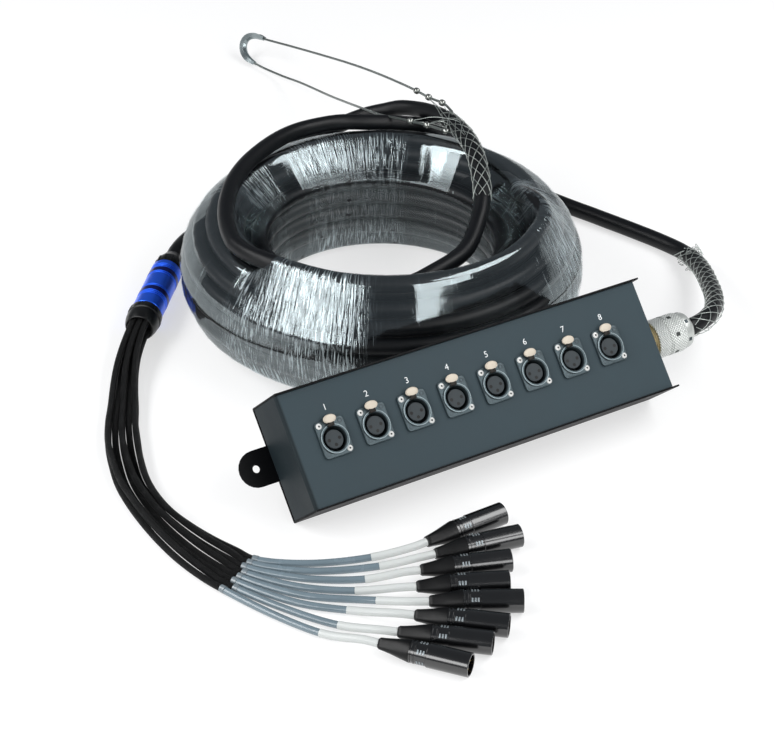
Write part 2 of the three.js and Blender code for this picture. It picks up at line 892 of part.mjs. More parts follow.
function makeTailNut() {
  return turned([
    [0, tailNutStart],
    [sleeveDiameter / 2, tailNutStart],
    [tailNutDiameter / 2, tailNutStart + tailNutLength / 4],
    [tailNutDiameter / 2, tailNutEnd - tailNutLength / 4],
    [tailNutFaceDiameter / 2, tailNutEnd],
    [tailNutBore / 2, tailNutEnd],
    [tailNutBore / 2, tailNutEnd - tailNutBoreDepth],
    [0, tailNutEnd - tailNutBoreDepth],
  ], splitterSides);
}

function makeSplitter() {
  const splitter = new THREE.Group();
  splitter.position.copy(splitterFace);
  splitter.quaternion.setFromUnitVectors(alongZ, splitterWay);
  place(splitter, 'splitter_nut_cable', outward(makeCableNut()), blackPlastic);
  place(splitter, 'splitter_body', outward(makeSplitterSleeve()), blueAnodising);
  place(splitter, 'splitter_nut_tails', outward(makeTailNut()), blackPlastic);
  return splitter;
}

// Tails. They leave the nut as a three-two-three bundle, spread to five and three,
// then to eight in a row, and fan out to the plugs. Each stage is a column of the share table.

const bundleShares = [
  { row: 'low', across: [1, 2, 2, 3.5] },
  { row: 'top', across: [1, 2, 1.5, 2.5] },
  { row: 'middle', across: [0.5, 1, 1, 1.5] },
  { row: 'top', across: [0, 0, 0.5, 0.5] },
  { row: 'low', across: [0, 0, 0, -0.5] },
  { row: 'middle', across: [-0.5, -1, -1, -1.5] },
  { row: 'top', across: [-1, -2, -1.5, -2.5] },
  { row: 'low', across: [-1, -2, -2, -3.5] },
];

function bundleHeight(row, stage) {
  const spread = 1 + Math.min(1, stage);
  const middle = Math.sqrt(Math.max(0, 1 - spread * spread / 4));
  if (row === 'low') {
    return 0;
  }
  if (row === 'middle') {
    return middle;
  }
  if (stage <= 1) {
    return Math.max(1, 2 * middle);
  }
  if (stage <= 2) {
    return Math.sqrt(1 - ((stage - 1) / 2) ** 2);
  }
  return Math.sqrt(Math.max(0, 1 - ((stage - 1) / 2) ** 2));
}

function bundleAcross(across, stage) {
  const whole = Math.min(2, Math.floor(stage));
  return THREE.MathUtils.lerp(across[whole], across[whole + 1], stage - whole);
}

// The bundle's middle line: x, y, height of its lowest row, and stage
const bundleLine = [
  [-199, 268, 8.2, 0.1],
  [-213, 247.5, 5, 0.3],
  [-225.5, 225, 3.3, 0.5],
  [-238, 200, 2.95, 0.7],
  [-250.5, 176, 2.95, 0.85],
  [-261.5, 150, 2.95, 1],
  [-270, 124, 2.95, 1.3],
  [-276.5, 98, 2.95, 1.6],
  [-279.3, 72, 2.95, 1.9],
  [-279.3, 46, 2.95, 2.1],
  [-276.3, 19.3, 2.95, 2.35],
  [-270.8, -8, 2.95, 2.65],
  [-263.5, -32, 2.95, 2.9],
  [-257, -50, 2.95, 3],
];

// Where each tail lies in the fan: two places on the floor, then its plug's rear end and heading
const fanLine = [
  { places: [[-203, -69], [-156, -88.5]], rear: [-111.7, -99.7], heading: 1 },
  { places: [[-206, -78.5], [-156, -101.5]], rear: [-114, -116.3], heading: -11 },
  { places: [[-214, -84.5], [-173.7, -110]], rear: [-134.4, -127.9], heading: -20.4 },
  { places: [[-222.5, -91.5], [-187.5, -118.5]], rear: [-147.5, -143.8], heading: -25.9 },
  { places: [[-226, -101], [-183, -134.5]], rear: [-148.2, -164.2], heading: -29.8 },
  { places: [[-233.5, -107.5], [-200.4, -139]], rear: [-166.2, -172.8], heading: -40.2 },
  { places: [[-244, -110.5], [-219, -148]], rear: [-187.3, -183.3], heading: -40.6 },
  { places: [[-255, -112.5], [-232.5, -153]], rear: [-206.3, -187.4], heading: -50.5 },
];

const plugAxisHeight = plugDiameter / 2;

function bundleStations() {
  const low = splitterAxisHeight - tailPitch * bundleHeight('middle', 0);
  const mouth = splitterFace.clone().addScaledVector(splitterWay, tailNutEnd - tailNutBoreDepth + seatGap);
  const clear = splitterFace.clone().addScaledVector(splitterWay, tailNutEnd + tailDiameter);
  return [
    [mouth.x, mouth.y, low, 0],
    [clear.x, clear.y, low, 0],
    ...bundleLine,
  ];
}

function tailPoints(index) {
  const stations = bundleStations();
  const { row, across } = bundleShares[index];
  const points = stations.map(([x, y, low, stage], at) => {
    const before = stations[Math.max(0, at - 1)];
    const after = stations[Math.min(stations.length - 1, at + 1)];
    const way = at < 2
      ? splitterWay
      : new THREE.Vector3(after[0] - before[0], after[1] - before[1], 0).normalize();
    const shift = tailPitch * bundleAcross(across, stage);
    return new THREE.Vector3(x - way.y * shift, y + way.x * shift, low + tailPitch * bundleHeight(row, stage));
  });
  const { places, rear, heading } = fanLine[index];
  places.forEach(([x, y], order) => {
    points.push(new THREE.Vector3(x, y, tailFloor + tailRise * order));
  });
  const way = headingVector(heading);
  const stop = new THREE.Vector3(rear[0], rear[1], plugAxisHeight).addScaledVector(way, -seatGap);
  const straight = stop.clone().addScaledVector(way, -2 * tailDiameter);
  points.push(straight, stop);
  return points;
}

// One step between stations along the bundle, two in the fan
function tailRoute(index) {
  const points = tailPoints(index);
  const bundleSteps = bundleStations().length - 1;
  const fanSteps = 2 * (points.length - 1 - bundleSteps);
  const steps = bundleSteps + fanSteps;
  const station = (share) => {
    const step = share * steps;
    return step < bundleSteps ? step : bundleSteps + (step - bundleSteps) / 2;
  };
  return { route: new Route(points, station), steps };
}

// Plugs: z runs from the boot's rear end to the open nose

function makePlugBoot() {
  const body = plugBootDiameter / 2;
  const end = plugBootEndDiameter / 2;
  return turned([
    [0, 0],
    [end, 0],
    [body, plugBootLength / 2],
    [body, plugBootLength],
    [0, plugBootLength],
  ], bootSides);
}

function makePlugShell() {
  const start = plugBootLength + seatGap;
  const radius = plugDiameter / 2;
  const groove = plugLength - plugGroovePlace;
  const floor = plugLength - plugMouthDepth;
  const barrel = turned([
    [0, start],
    [plugBootDiameter / 2 + ringChamfer, start],
    [plugCollarDiameter / 2, start + ringLip],
    [plugCollarDiameter / 2, start + plugCollarLength],
    [radius, start + plugCollarLength],
    [radius, groove],
    [radius - plugGrooveDepth, groove],
    [radius - plugGrooveDepth, groove + plugGrooveWidth],
    [radius, groove + plugGrooveWidth],
    [radius, plugLength],
    [plugMouthDiameter / 2, plugLength],
    [plugMouthDiameter / 2, floor],
    [0, floor],
  ], plugSides);
  let body = solid(barrel);
  for (const quarter of [0, 2, 3]) {
    const angle = rightAngle * quarter;
    body = body.add(solid(upright(
      plugPinDiameter / 2, contactCircle * Math.cos(angle), contactCircle * Math.sin(angle),
      floor - pinRoot, floor + plugPinLength, pinSides,
    )));
  }
  return geometryOf(body);
}

function makePlug(index) {
  const plug = new THREE.Group();
  const { rear, heading } = fanLine[index];
  plug.position.set(rear[0], rear[1], plugAxisHeight);
  plug.rotation.set(0, rightAngle, 0);
  const turn = new THREE.Group();
  turn.rotation.z = rightAngle;
  plug.rotation.order = 'ZYX';
  plug.rotation.z = radians(heading);
  plug.add(turn);
  place(turn, `plug_${index + 1}_boot`, outward(makePlugBoot()), blackPlastic);
  place(turn, `plug_${index + 1}_shell`, makePlugShell(), blackMetal);
  return plug;
}

// Wire rope loop of the pulling grip: out over the cable, round the thimble and back

const ropePoints = [
  [170.8, 322, 133.8],
  [172, 338, 134.5],
  [170.5, 362, 131],
  [171.7, 393.9, 126],
  [178.3, 470.5, 108],
  [184.2, 536.9, 90],
  [190.1, 619.3, 66],
  [192, 691.4, 46],
  [191.4, 748.1, 31],
  [188.8, 768.3, 27.5],
  [184, 777.6, 22.5],
  [180.5, 780.3, 15.5],
  [178.5, 776.5, 8],
  [178, 765.5, 3],
  [180, 748.5, 1.8],
  [184.4, 702.6, 8],
  [183.3, 653.6, 20],
  [169.9, 561.7, 48],
  [150, 490, 78],
  [138.7, 448.9, 99.5],
  [132.5, 418, 112.5],
  [131.5, 390, 121.5],
  [134.5, 364, 125],
  [138.5, 342.7, 124.5],
  [145, 323.9, 125],
  [153.2, 312, 123.5],
  [157.2, 304.5, 123],
];

function makeThimble() {
  const eye = thimbleEye / 2;
  const rim = eye + thimbleWall;
  const legs = -thimbleEye;
  const outline = [
    corner(legs, -rim),
    ...arc(0, 0, rim, -90, 90, arcSteps * 3),
    corner(legs, rim),
    corner(legs, eye),
    ...arc(0, 0, eye, 90, -90, arcSteps * 3),
    corner(legs, -eye),
  ];
  return plate(outline, -thimbleWidth / 2, thimbleWidth / 2);
}

// The thimble stands on edge inside the far bend of the rope, in the plane of its two legs
function placeThimble(parent) {
  const bend = points3(ropePoints);
  const upper = bend[8];
  const lower = bend[14];
  const tip = bend[11];
  const back = upper.clone().add(lower).multiplyScalar(0.5);
  const out = tip.clone().sub(back).normalize();
  const across = upper.clone().sub(lower);
  across.addScaledVector(out, -across.dot(out)).normalize();
  const face = new THREE.Vector3().crossVectors(out, across);
  const reach = thimbleEye / 2 + thimbleWall + thimbleSeat + ropeDiameter / 2;
  const middle = tip.clone().addScaledVector(out, -reach);
  const basis = new THREE.Matrix4().makeBasis(out, across, face).setPosition(middle);
  return place(parent, 'thimble', outward(makeThimble().applyMatrix4(basis)), steelWire);
}

// Assembly

model.add(makeBox());
model.add(makeSplitter());

const runs = cableRuns();
console.log(`least gap between the coil's turns ${leastGap(runs.coilLine, cableDiameter).toFixed(2)} mm`);
place(model, 'cable_coil', makeCoil(runs.coilLine), cableJacket);
place(model, 'cable_coil_core', outward(makeCoilCore()), cableJacket);

const boxRun = wholeRoute(runs.toBox);
const splitterRun = wholeRoute(runs.toSplitter);
place(model, 'cable_to_box', outward(cord(boxRun.route, cableRadius, cableSides, boxRun.steps)), cableJacket);
place(
  model, 'cable_to_splitter',
  outward(cord(splitterRun.route, cableRadius, cableSides, splitterRun.steps)), cableJacket,
);

const gripInner = (cableRadius + seatGap) / Math.cos(Math.PI / gripSides);
const gripOuter = gripInner + gripWall;
const boxGripSteps = 8;
const pullGripFirst = 5;
const pullGripLast = 12;
place(model, 'box_end_grip', outward(sleeveAround(
  partRoute(runs.toBox, 0, boxGripSteps), gripInner, gripOuter, gripSides, boxGripSteps,
)), steelWire);
place(model, 'pulling_grip', outward(sleeveAround(
  partRoute(runs.toSplitter, pullGripFirst, pullGripLast),
  gripInner, gripOuter, gripSides, pullGripLast - pullGripFirst,
)), steelWire);

const rope = wholeRoute(points3(ropePoints));
place(model, 'pulling_loop', outward(cord(rope.route, ropeDiameter / 2, ropeSides, rope.steps)), steelWire);
placeThimble(model);

for (let index = 0; index < tailCount; index += 1) {
  const tail = tailRoute(index);
  place(model, `tail_${index + 1}`, outward(cord(tail.route, tailRadius, tailSides, tail.steps)), braidSleeve);
  model.add(makePlug(index));
}

export default model;
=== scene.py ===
"""Looks of a stage box with its wound multicore cable, splitter and fan of plugs.

Lengths are written in millimetres and carry MM where a piece is made, so every piece is in metres.
The box, its sockets and its coupling are modelled in the box's own frame: x along the box, y
across its back plate and z out of it towards the panel. The frame leans back, as the box does.
"""

import logging
import math
from bisect import bisect
from dataclasses import dataclass, field
from enum import Enum
from typing import Callable, Iterable, Sequence

import bmesh
import bpy
from mathutils import Matrix, Vector, noise


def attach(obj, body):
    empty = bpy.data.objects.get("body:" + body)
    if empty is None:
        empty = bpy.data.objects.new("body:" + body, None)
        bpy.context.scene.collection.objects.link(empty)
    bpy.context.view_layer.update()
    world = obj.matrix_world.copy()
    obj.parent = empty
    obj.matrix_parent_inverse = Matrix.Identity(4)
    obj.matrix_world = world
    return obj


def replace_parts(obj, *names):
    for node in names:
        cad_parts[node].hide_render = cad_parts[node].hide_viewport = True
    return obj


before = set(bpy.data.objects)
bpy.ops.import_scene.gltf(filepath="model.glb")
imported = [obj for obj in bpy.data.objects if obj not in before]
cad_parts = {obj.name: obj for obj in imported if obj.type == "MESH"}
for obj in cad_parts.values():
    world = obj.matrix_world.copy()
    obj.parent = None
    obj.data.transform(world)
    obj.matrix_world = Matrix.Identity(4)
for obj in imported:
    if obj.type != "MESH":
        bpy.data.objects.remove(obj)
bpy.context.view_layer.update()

MM = 0.001
FULL_TURN = 2 * math.pi
LIT = 0.42
FLOOR_GAP = 0.05
log = logging.getLogger("stage_box_snake")

Colour = tuple[float, float, float]
Pair = tuple[float, float]
Spot = tuple[float, float, float]
Piece = bpy.types.Object
Socket = bpy.types.NodeSocket


class Body(Enum):
    """The bodies that carry the pieces, apart from the push tabs, which are numbered."""

    BOX = "stage_box"
    RING = "coupling_ring"


class Slot(Enum):
    """The names of the record's material slots."""

    BLACK_POWDER = "black_powder_coat"
    SHELL = "shell_plating"
    TAB = "tab_plating"
    GOLD = "gold_plating"
    NICKEL = "nickel_plating"
    JACKET = "cable_jacket"
    PLASTIC = "black_plastic"
    BLUE = "blue_anodising"
    BRAID = "braid_sleeve"
    BLACK_METAL = "black_metal"
    WIRE = "steel_wire"


# ---------------------------------------------------------------- finishes


def linear(colour: Colour) -> tuple[float, float, float, float]:
    """Turns a screen colour of 0 to 255 into the linear colour that a shader takes.

    Args:
        colour: Red, green and blue as they look on a screen.

    Returns:
        The linear colour with full opacity.
    """
    shares = [c / 255 for c in colour]
    bent = [s / 12.92 if s <= 0.04045 else ((s + 0.055) / 1.055) ** 2.4 for s in shares]
    return (*bent, 1.0)


class Recipe:
    """One material's nodes while they are put together."""

    def __init__(self, name: str) -> None:
        """Starts a material with its shader and object coordinates.

        Args:
            name: The material's name.
        """
        self.material = bpy.data.materials.new(name)
        self.material.use_nodes = True
        self.tree = self.material.node_tree
        self.shader = self.tree.nodes["Principled BSDF"]
        self.coordinates = self.tree.nodes.new("ShaderNodeTexCoord")

    @property
    def place(self) -> Socket:
        """The object coordinates."""
        return self.coordinates.outputs["Object"]

    @property
    def wrap(self) -> Socket:
        """The piece's own UV map."""
        return self.coordinates.outputs["UV"]

    def add(self, kind: str, inputs: dict | None = None, **settings: object) -> bpy.types.Node:
        """Adds a node.

        Args:
            kind: The node's type without its ShaderNode prefix.
            inputs: Values or sockets by input name or number.
            **settings: The node's own settings.

        Returns:
            The node.
        """
        node = self.tree.nodes.new("ShaderNode" + kind)
        for key, value in settings.items():
            setattr(node, key, value)
        for key, value in (inputs or {}).items():
            self.feed(node.inputs[key], value)
        return node

    def feed(self, socket: Socket, value: object) -> None:
        """Links a socket into an input, or sets the input's value.

        Args:
            socket: The input.
            value: A socket or a plain value.
        """
        if isinstance(value, Socket):
            self.tree.links.new(value, socket)
        else:
            socket.default_value = value

    def stretch(self, source: Socket, scale: Spot) -> Socket:
        """Scales coordinates by one factor for each axis."""
        return self.add("VectorMath", {0: source, 1: scale}, operation="MULTIPLY").outputs[0]

    def grain(self, source: Socket, scale: float, detail: float = 3.0) -> Socket:
        """Adds noise from 0 to 1, with so many grains in a unit and so many finer ones."""
        return self.add("TexNoise", {"Vector": source, "Scale": scale, "Detail": detail}).outputs[0]

    def span(self, source: Socket, low: Pair, high: Pair) -> Socket:
        """Maps a value between two points, each given as where it lies and what it gives."""
        node = self.add("MapRange", {0: source, 1: low[0], 2: high[0], 3: low[1], 4: high[1]})
        return node.outputs[0]

    def sums(self, operation: str, first: object, second: object = 0.0) -> Socket:
        """Adds a sum of two sockets or numbers, by the name of its operation."""
        return self.add("Math", {0: first, 1: second}, operation=operation).outputs[0]

    def mix(self, share: object, first: object, second: object) -> Socket:
        """Mixes two colours, with a share of the second."""
        node = self.add("Mix", {0: share, 6: first, 7: second}, data_type="RGBA")
        return node.outputs[2]

    def tint(self, shade: Socket) -> None:
        """Darkens the colour that is already there.

        Args:
            shade: The share of the colour that is kept.
        """
        tone = self.shader.inputs["Base Color"].links[0].from_socket
        grey = self.add("CombineXYZ", {0: shade, 1: shade, 2: shade}).outputs[0]
        tinted = self.add("VectorMath", {0: tone, 1: grey}, operation="MULTIPLY").outputs[0]
        self.feed(self.shader.inputs["Base Color"], tinted)

    def bump(self, height: Socket, depth: float, strength: float = 1.0) -> None:
        """Raises the surface by a height pattern, over any bump that is already there.

        Args:
            height: The pattern from 0 to 1.
            depth: The height of 1 in metres.
            strength: How much of it is used.
        """
        node = self.add("Bump", {"Height": height, "Distance": depth, "Strength": strength})
        before = self.shader.inputs["Normal"].links
        if before:
            self.feed(node.inputs["Normal"], before[0].from_socket)
        self.feed(self.shader.inputs["Normal"], node.outputs[0])


@dataclass(frozen=True)
class Finish:
    """A plain finish: an uneven colour and gloss with a fine grain.

    Attributes:
        name: The material's name.
        colour: The screen colour.
        roughness: The mean roughness.
        metallic: 1 for bare metal.
        mottle: How far the colour and gloss vary, as a share.
        mottle_scale: Patches in a metre.
        grain: The grain's height in metres.
        grain_scale: Grains in a metre.
        coat: The weight of a clear coat over it.
        gloss: The strength of its plain reflection, 0.5 for common plastic.
        lit: The share of the screen colour that it needs under the studio lights.
    """

    name: str
    colour: Colour
    roughness: float
    metallic: float = 0.0
    mottle: float = 0.12
    mottle_scale: float = 60.0
    grain: float = 0.00002
    grain_scale: float = 2500.0
    coat: float = 0.0
    gloss: float = 0.5
    lit: float = LIT

    def material(self) -> bpy.types.Material:
        """Builds the material once.

        Returns:
            The material.
        """
        known = bpy.data.materials.get(self.name)
        if known:
            return known
        recipe = Recipe(self.name)
        recipe.shader.inputs["Metallic"].default_value = self.metallic
        recipe.shader.inputs["Coat Weight"].default_value = self.coat
        recipe.shader.inputs["Coat Roughness"].default_value = 0.08
        recipe.shader.inputs["Specular IOR Level"].default_value = self.gloss
        self.dress(recipe)
        return recipe.material

    def dress(self, recipe: Recipe) -> None:
        """Adds the finish's own pattern.

        Args:
            recipe: The material being made.
        """
        lit = 1.0 if self.metallic > 0.5 else self.lit
        base = tuple(c * lit for c in linear(self.colour)[:3])
        patches = recipe.grain(recipe.place, self.mottle_scale, 4.0)
        darker = tuple(c * (1 - self.mottle) for c in base) + (1.0,)
        lighter = tuple(min(1.0, c * (1 + self.mottle)) for c in base) + (1.0,)
        recipe.feed(recipe.shader.inputs["Base Color"], recipe.mix(patches, darker, lighter))
        spread = self.roughness * self.mottle
        gloss = recipe.span(patches, (0.3, self.roughness - spread), (0.7, self.roughness + spread))
        recipe.feed(recipe.shader.inputs["Roughness"], gloss)
        recipe.bump(recipe.grain(recipe.place, self.grain_scale, 2.0), self.grain)


@dataclass(frozen=True)
class CrossedFinish(Finish):
    """A finish with two sets of slanting ridges on the piece's UV map, as on a braid or a knurl,
    with painted shade in the valleys.

    Attributes:
        around: Ridges round the piece.
        along: Ridges along the piece's whole length.
        relief: The ridges' height in metres.
        dirt: How much the painted shade darkens the valleys, as a share.
    """

    around: float = 12.0
    along: float = 60.0
    relief: float = 0.0003
    dirt: float = 0.5

    def dress(self, recipe: Recipe) -> None:
        """Adds the ridges, with painted shade in their valleys, over the plain pattern.

        Args:
            recipe: The material being made.
        """
        super().dress(recipe)
        parts = recipe.add("SeparateXYZ", {0: recipe.wrap}).outputs
        across = recipe.sums("MULTIPLY", parts[0], self.around)
        length = recipe.sums("MULTIPLY", parts[1], self.along)
        ridges = []
        for operation in ("ADD", "SUBTRACT"):
            slant = recipe.sums(operation, length, across)
            ridges.append(recipe.sums("PINGPONG", slant, 0.5))
        height = recipe.sums("MULTIPLY", recipe.sums("MINIMUM", *ridges), 2.0)
        recipe.bump(height, self.relief)
        # Painted shade: the valleys between the ridges are darkened.
        recipe.tint(recipe.span(height, (0.0, 1.0 - self.dirt), (0.5, 1.0)))


@dataclass(frozen=True)
class LaidFinish(Finish):
    """A finish with strands laid round the piece on its UV map, as on wire rope.

    Attributes:
        strands: Strands round the rope.
        lays: Turns of a strand along the piece.
        relief: The strands' height in metres.
    """

    strands: float = 6.0
    lays: float = 60.0
    relief: float = 0.0003

    def dress(self, recipe: Recipe) -> None:
        """Adds the strands over the plain pattern.

        Args:
            recipe: The material being made.
        """
        super().dress(recipe)
        parts = recipe.add("SeparateXYZ", {0: recipe.wrap}).outputs
        across = recipe.sums("MULTIPLY", parts[0], self.strands)
        length = recipe.sums("MULTIPLY", parts[1], self.lays)
        slant = recipe.sums("ADD", length, across)
        recipe.bump(recipe.sums("PINGPONG", slant, 0.5), self.relief)


@dataclass(frozen=True)
class PanelFinish(Finish):
    """A powder coat with painted shade on the folded end, which comes out darker than the face.

    Attributes:
        end: Where the folded end stops along x, in metres.
        edge: Half the width of the change, in metres.
        shade: The share of the colour that the end keeps under its painted shade.
    """

    end: float = -0.182
    edge: float = 0.001
    shade: float = 0.35

    def dress(self, recipe: Recipe) -> None:
        """Paints shade on the end over the plain pattern.

        Args:
            recipe: The material being made.
        """
        super().dress(recipe)
        along = recipe.add("SeparateXYZ", {0: recipe.place}).outputs[0]
        dark, plain = (self.end - self.edge, self.shade), (self.end + self.edge, 1.0)
        recipe.tint(recipe.span(along, dark, plain))


@dataclass(frozen=True)
class FilmFinish(Finish):
    """Clear stretch film: a bright sheet that lets most light through, with crinkles in it.

    Attributes:
        centre: The coil's centre, where the crinkles run together.
        facing: The film's share of reflection where it faces the eye.
        glancing: Its share of reflection where it is seen along its face.
        haze: What a crinkle adds to that share.
        dull: A crinkle's roughness.
        slant: How far the crinkles lean along each axis.
        crinkles: How close the crinkles, the stray ones and the waves lie round the coil.
        patches: Crinkled patches in a metre.
        dents: Shallow dents in a metre.
        inside: The radius below which the film lies inside the coil, from and to.
        foot: The height of its foot in there, from and to.
        inside_share: How much of the film shows in there, above the foot and at it.
        crowds: Where crinkles crowd: the middle and half the width of each stretch, in degrees.
    """

    centre: Spot = (0.0, 0.0, 0.0)
    facing: float = 0.15
    glancing: float = 0.42
    haze: float = 0.5
    dull: float = 0.42
    slant: Spot = (0.3, 0.3, 0.45)
    crinkles: Spot = (150.0, 70.0, 60.0)
    patches: float = 14.0
    dents: float = 30.0
    inside: Pair = (0.108, 0.118)
    foot: Pair = (0.02, 0.045)
    inside_share: Pair = (0.3, 0.8)
    crowds: tuple[Pair, ...] = ((214.0, 20.0), (75.0, 24.0), (325.0, 22.0), (128.0, 10.0))

    def dress(self, recipe: Recipe) -> None:
        """Adds the crinkles and the opacity.

        Args:
            recipe: The material being made.
        """
        middle = tuple(-c for c in self.centre)
        moved = recipe.add("VectorMath", {0: recipe.place, 1: middle}, operation="ADD").outputs[0]
        flat = recipe.stretch(moved, (1.0, 1.0, 0.0))
        round_about = recipe.add("VectorMath", {0: flat}, operation="NORMALIZE").outputs[0]
        drift = recipe.stretch(moved, self.slant)
        slanted = recipe.add("VectorMath", {0: round_about, 1: drift}, operation="ADD").outputs[0]
        crowd = self.crowding(recipe, round_about)
        fine, stray, waved = self.crinkles
        lines = recipe.span(recipe.grain(slanted, fine), (0.5, 0.0), (0.6, 1.0))
        patches = recipe.span(recipe.grain(moved, self.patches, 2.0), (0.36, 0.0), (0.56, 1.0))
        creases = recipe.sums("MULTIPLY", recipe.sums("MULTIPLY", lines, patches), crowd)
        strays = recipe.span(recipe.grain(slanted, stray), (0.66, 0.0), (0.72, 0.5))
        creases = recipe.sums("MAXIMUM", creases, strays)
        dulled = recipe.span(creases, (0.0, self.roughness), (1.0, self.dull))
        recipe.feed(recipe.shader.inputs["Base Color"], linear(self.colour))
        recipe.feed(recipe.shader.inputs["Roughness"], dulled)
        facing = recipe.add("LayerWeight", {"Blend": 0.5}).outputs["Facing"]
        bent = recipe.sums("POWER", facing, 3.5)
        clear = recipe.span(bent, (0.0, self.facing), (1.0, self.glancing))
        share = recipe.sums("ADD", clear, recipe.sums("MULTIPLY", creases, self.haze))
        radius = recipe.add("VectorMath", {0: flat}, operation="LENGTH").outputs["Value"]
        height = recipe.add("SeparateXYZ", {0: moved}).outputs[2]
        outside = recipe.span(radius, (self.inside[0], self.inside_share[0]), (self.inside[1], 1.0))
        low = recipe.span(height, (self.foot[0], self.inside_share[1]), (self.foot[1], 0.0))
        seen = recipe.sums("MULTIPLY", share, recipe.sums("MAXIMUM", outside, low))
        recipe.feed(recipe.shader.inputs["Alpha"], seen)
        waves = recipe.grain(slanted, waved)
        recipe.bump(recipe.sums("MULTIPLY", waves, crowd), 0.0011, 0.75)
        recipe.bump(recipe.grain(moved, self.dents, 2.0), 0.0008, 0.25)

    def crowding(self, recipe: Recipe, round_about: Socket) -> Socket:
        """Gives how crowded the crinkles are round the coil.

        Args:
            recipe: The material being made.
            round_about: The level direction from the coil's centre.

        Returns:
            The crowding from nearly 0 to 1.
        """
        crowd = None
        for middle, half in self.crowds:
            turn = math.radians(middle)
            way = (math.cos(turn), math.sin(turn), 0.0)
            across = recipe.add("VectorMath", {0: round_about, 1: way}, operation="DOT_PRODUCT")
            near = across.outputs["Value"]
            low, high = (math.cos(math.radians(half + edge)) for edge in (5.0, -3.0))
            here = recipe.span(near, (low, 0.06), (high, 1.0))
            crowd = here if crowd is None else recipe.sums("MAXIMUM", crowd, here)
        return crowd


COIL_MIDDLE = (43.3, 237.0)

BLACK_POWDER = Finish(
    "black powder coat", (10, 12, 16), 0.5, grain=0.00004, grain_scale=1800, gloss=0.1,
)
# Slate powder coat, with painted shade on its folded end.
SLATE_POWDER = PanelFinish(
    "slate powder coat with painted end shade", (80, 98, 106), 0.5, grain=0.00004, grain_scale=1800, mottle=0.1,
    mottle_scale=30, gloss=0.13,
)
SHELL = Finish("dark socket plating", (68, 79, 83), 0.42, metallic=0.55, mottle=0.2, gloss=0.3)
COLLAR = Finish("worn socket rim", (118, 130, 134), 0.35, metallic=0.6, mottle=0.3)
STEM = Finish("dark tab stem", (46, 40, 34), 0.5, gloss=0.2)
TAB = Finish(
    "bright tab plating", (228, 216, 198), 0.45, metallic=0.2, grain=0.00003, gloss=0.4, lit=0.62,
)
SCREW = Finish("bright screw plating", (236, 236, 233), 0.45, metallic=0.3, gloss=0.3, lit=0.75)
# Dull rivet plating, also used as painted shade for the cable clamp's slots.
RIVET_AND_SLOT_SHADE = Finish("dull rivet plating and painted slot shade", (98, 110, 116), 0.45, metallic=0.5, gloss=0.3)
INSERT = Finish("black contact insert", (90, 98, 102), 0.55, gloss=0.15)
# Dark discs of painted shade for the contact holes and the screws' drive holes.
HOLE_SHADE = Finish("painted contact hole shade", (8, 8, 9), 0.7)
CONTACT = Finish("gold contact plating", (150, 130, 84), 0.3, metallic=0.9)
GOLD = Finish("pale gold plating", (226, 208, 160), 0.3, metallic=0.5, lit=0.62)
NICKEL = Finish("bright zinc plating", (228, 232, 228), 0.32, metallic=0.5, lit=0.66)
KNURL = CrossedFinish(
    "knurled zinc plating", (250, 254, 250), 0.36, metallic=0.4, around=40, along=6, relief=0.0005,
    dirt=0.6, lit=0.85,
)
# Dark blocks of painted shade for the coupling ring's windows.
WINDOW_SHADE = Finish("painted ring window shade", (84, 90, 88), 0.5, metallic=0.3)
JACKET = Finish(
    "black cable jacket", (15, 18, 23), 0.42, mottle=0.1, grain=0.00003, grain_scale=900,
    gloss=0.26,
)
FILM = FilmFinish(
    "clear stretch film", (220, 234, 238), 0.06, metallic=1.0,
    centre=(COIL_MIDDLE[0] * MM, COIL_MIDDLE[1] * MM, 0.0),
)
PLASTIC = Finish("black moulded plastic", (13, 14, 16), 0.34, grain=0.00003, gloss=0.4)
BLUE = Finish("blue anodising", (40, 104, 255), 0.3, metallic=0.7, mottle=0.08)
BLUE_DARK = Finish("dark blue anodising", (10, 26, 110), 0.3, metallic=0.7, mottle=0.08)
BRAID = CrossedFinish(
    "black braid", (20, 22, 24), 0.6, around=10, along=150, relief=0.0006, dirt=0.6, gloss=0.3,
)
GREY_TUBE = Finish("grey shrink tube", (112, 128, 137), 0.25, coat=0.5, mottle=0.15, lit=0.85)
CLEAR_TUBE = Finish("pale shrink tube end", (160, 174, 182), 0.25, coat=0.5, mottle=0.1)
WHITE_TUBE = Finish("white marker tube", (238, 242, 240), 0.35, mottle=0.02, lit=0.6)
PLUG_METAL = Finish(
    "black plug shell", (9, 10, 13), 0.2, mottle=0.1, coat=0.5, grain=0.00001, gloss=0.9,
)
PLUG_RUBBER = Finish("black plug boot", (9, 10, 12), 0.4, grain=0.00004, gloss=0.3)
# Painted highlight: a light metallic finish on the black plug's ribs.
RIB_PAINTED_HIGHLIGHT = Finish("painted plug rib highlight", (136, 144, 148), 0.35, metallic=0.6)
WIRE = Finish("galvanised wire", (178, 184, 180), 0.34, metallic=0.9)
ROPE = LaidFinish("galvanised wire rope", (122, 128, 126), 0.35, metallic=0.85, lays=130)
FERRULE = Finish("rope ferrule", (148, 150, 146), 0.26, metallic=0.9)
STEEL = Finish("thimble steel", (150, 160, 162), 0.3, metallic=0.9)
HOOKUP = Finish("hook-up wire", (122, 42, 42), 0.5)
NUMBER = Finish("white panel print", (236, 240, 240), 0.5, grain=0.0, lit=0.85)


# ---------------------------------------------------------------- shapes


def dress(obj: Piece, finish: Finish, body: str, slot: Slot) -> Piece:
    """Gives a piece its finish and its body.

    Args:
        obj: The piece.
        finish: Its finish.
        body: The body that it rides on.
        slot: The record's slot; not used.

    Returns:
        The piece.
    """
    obj.data.materials.clear()
    obj.data.materials.append(finish.material())
    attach(obj, body)
    return obj


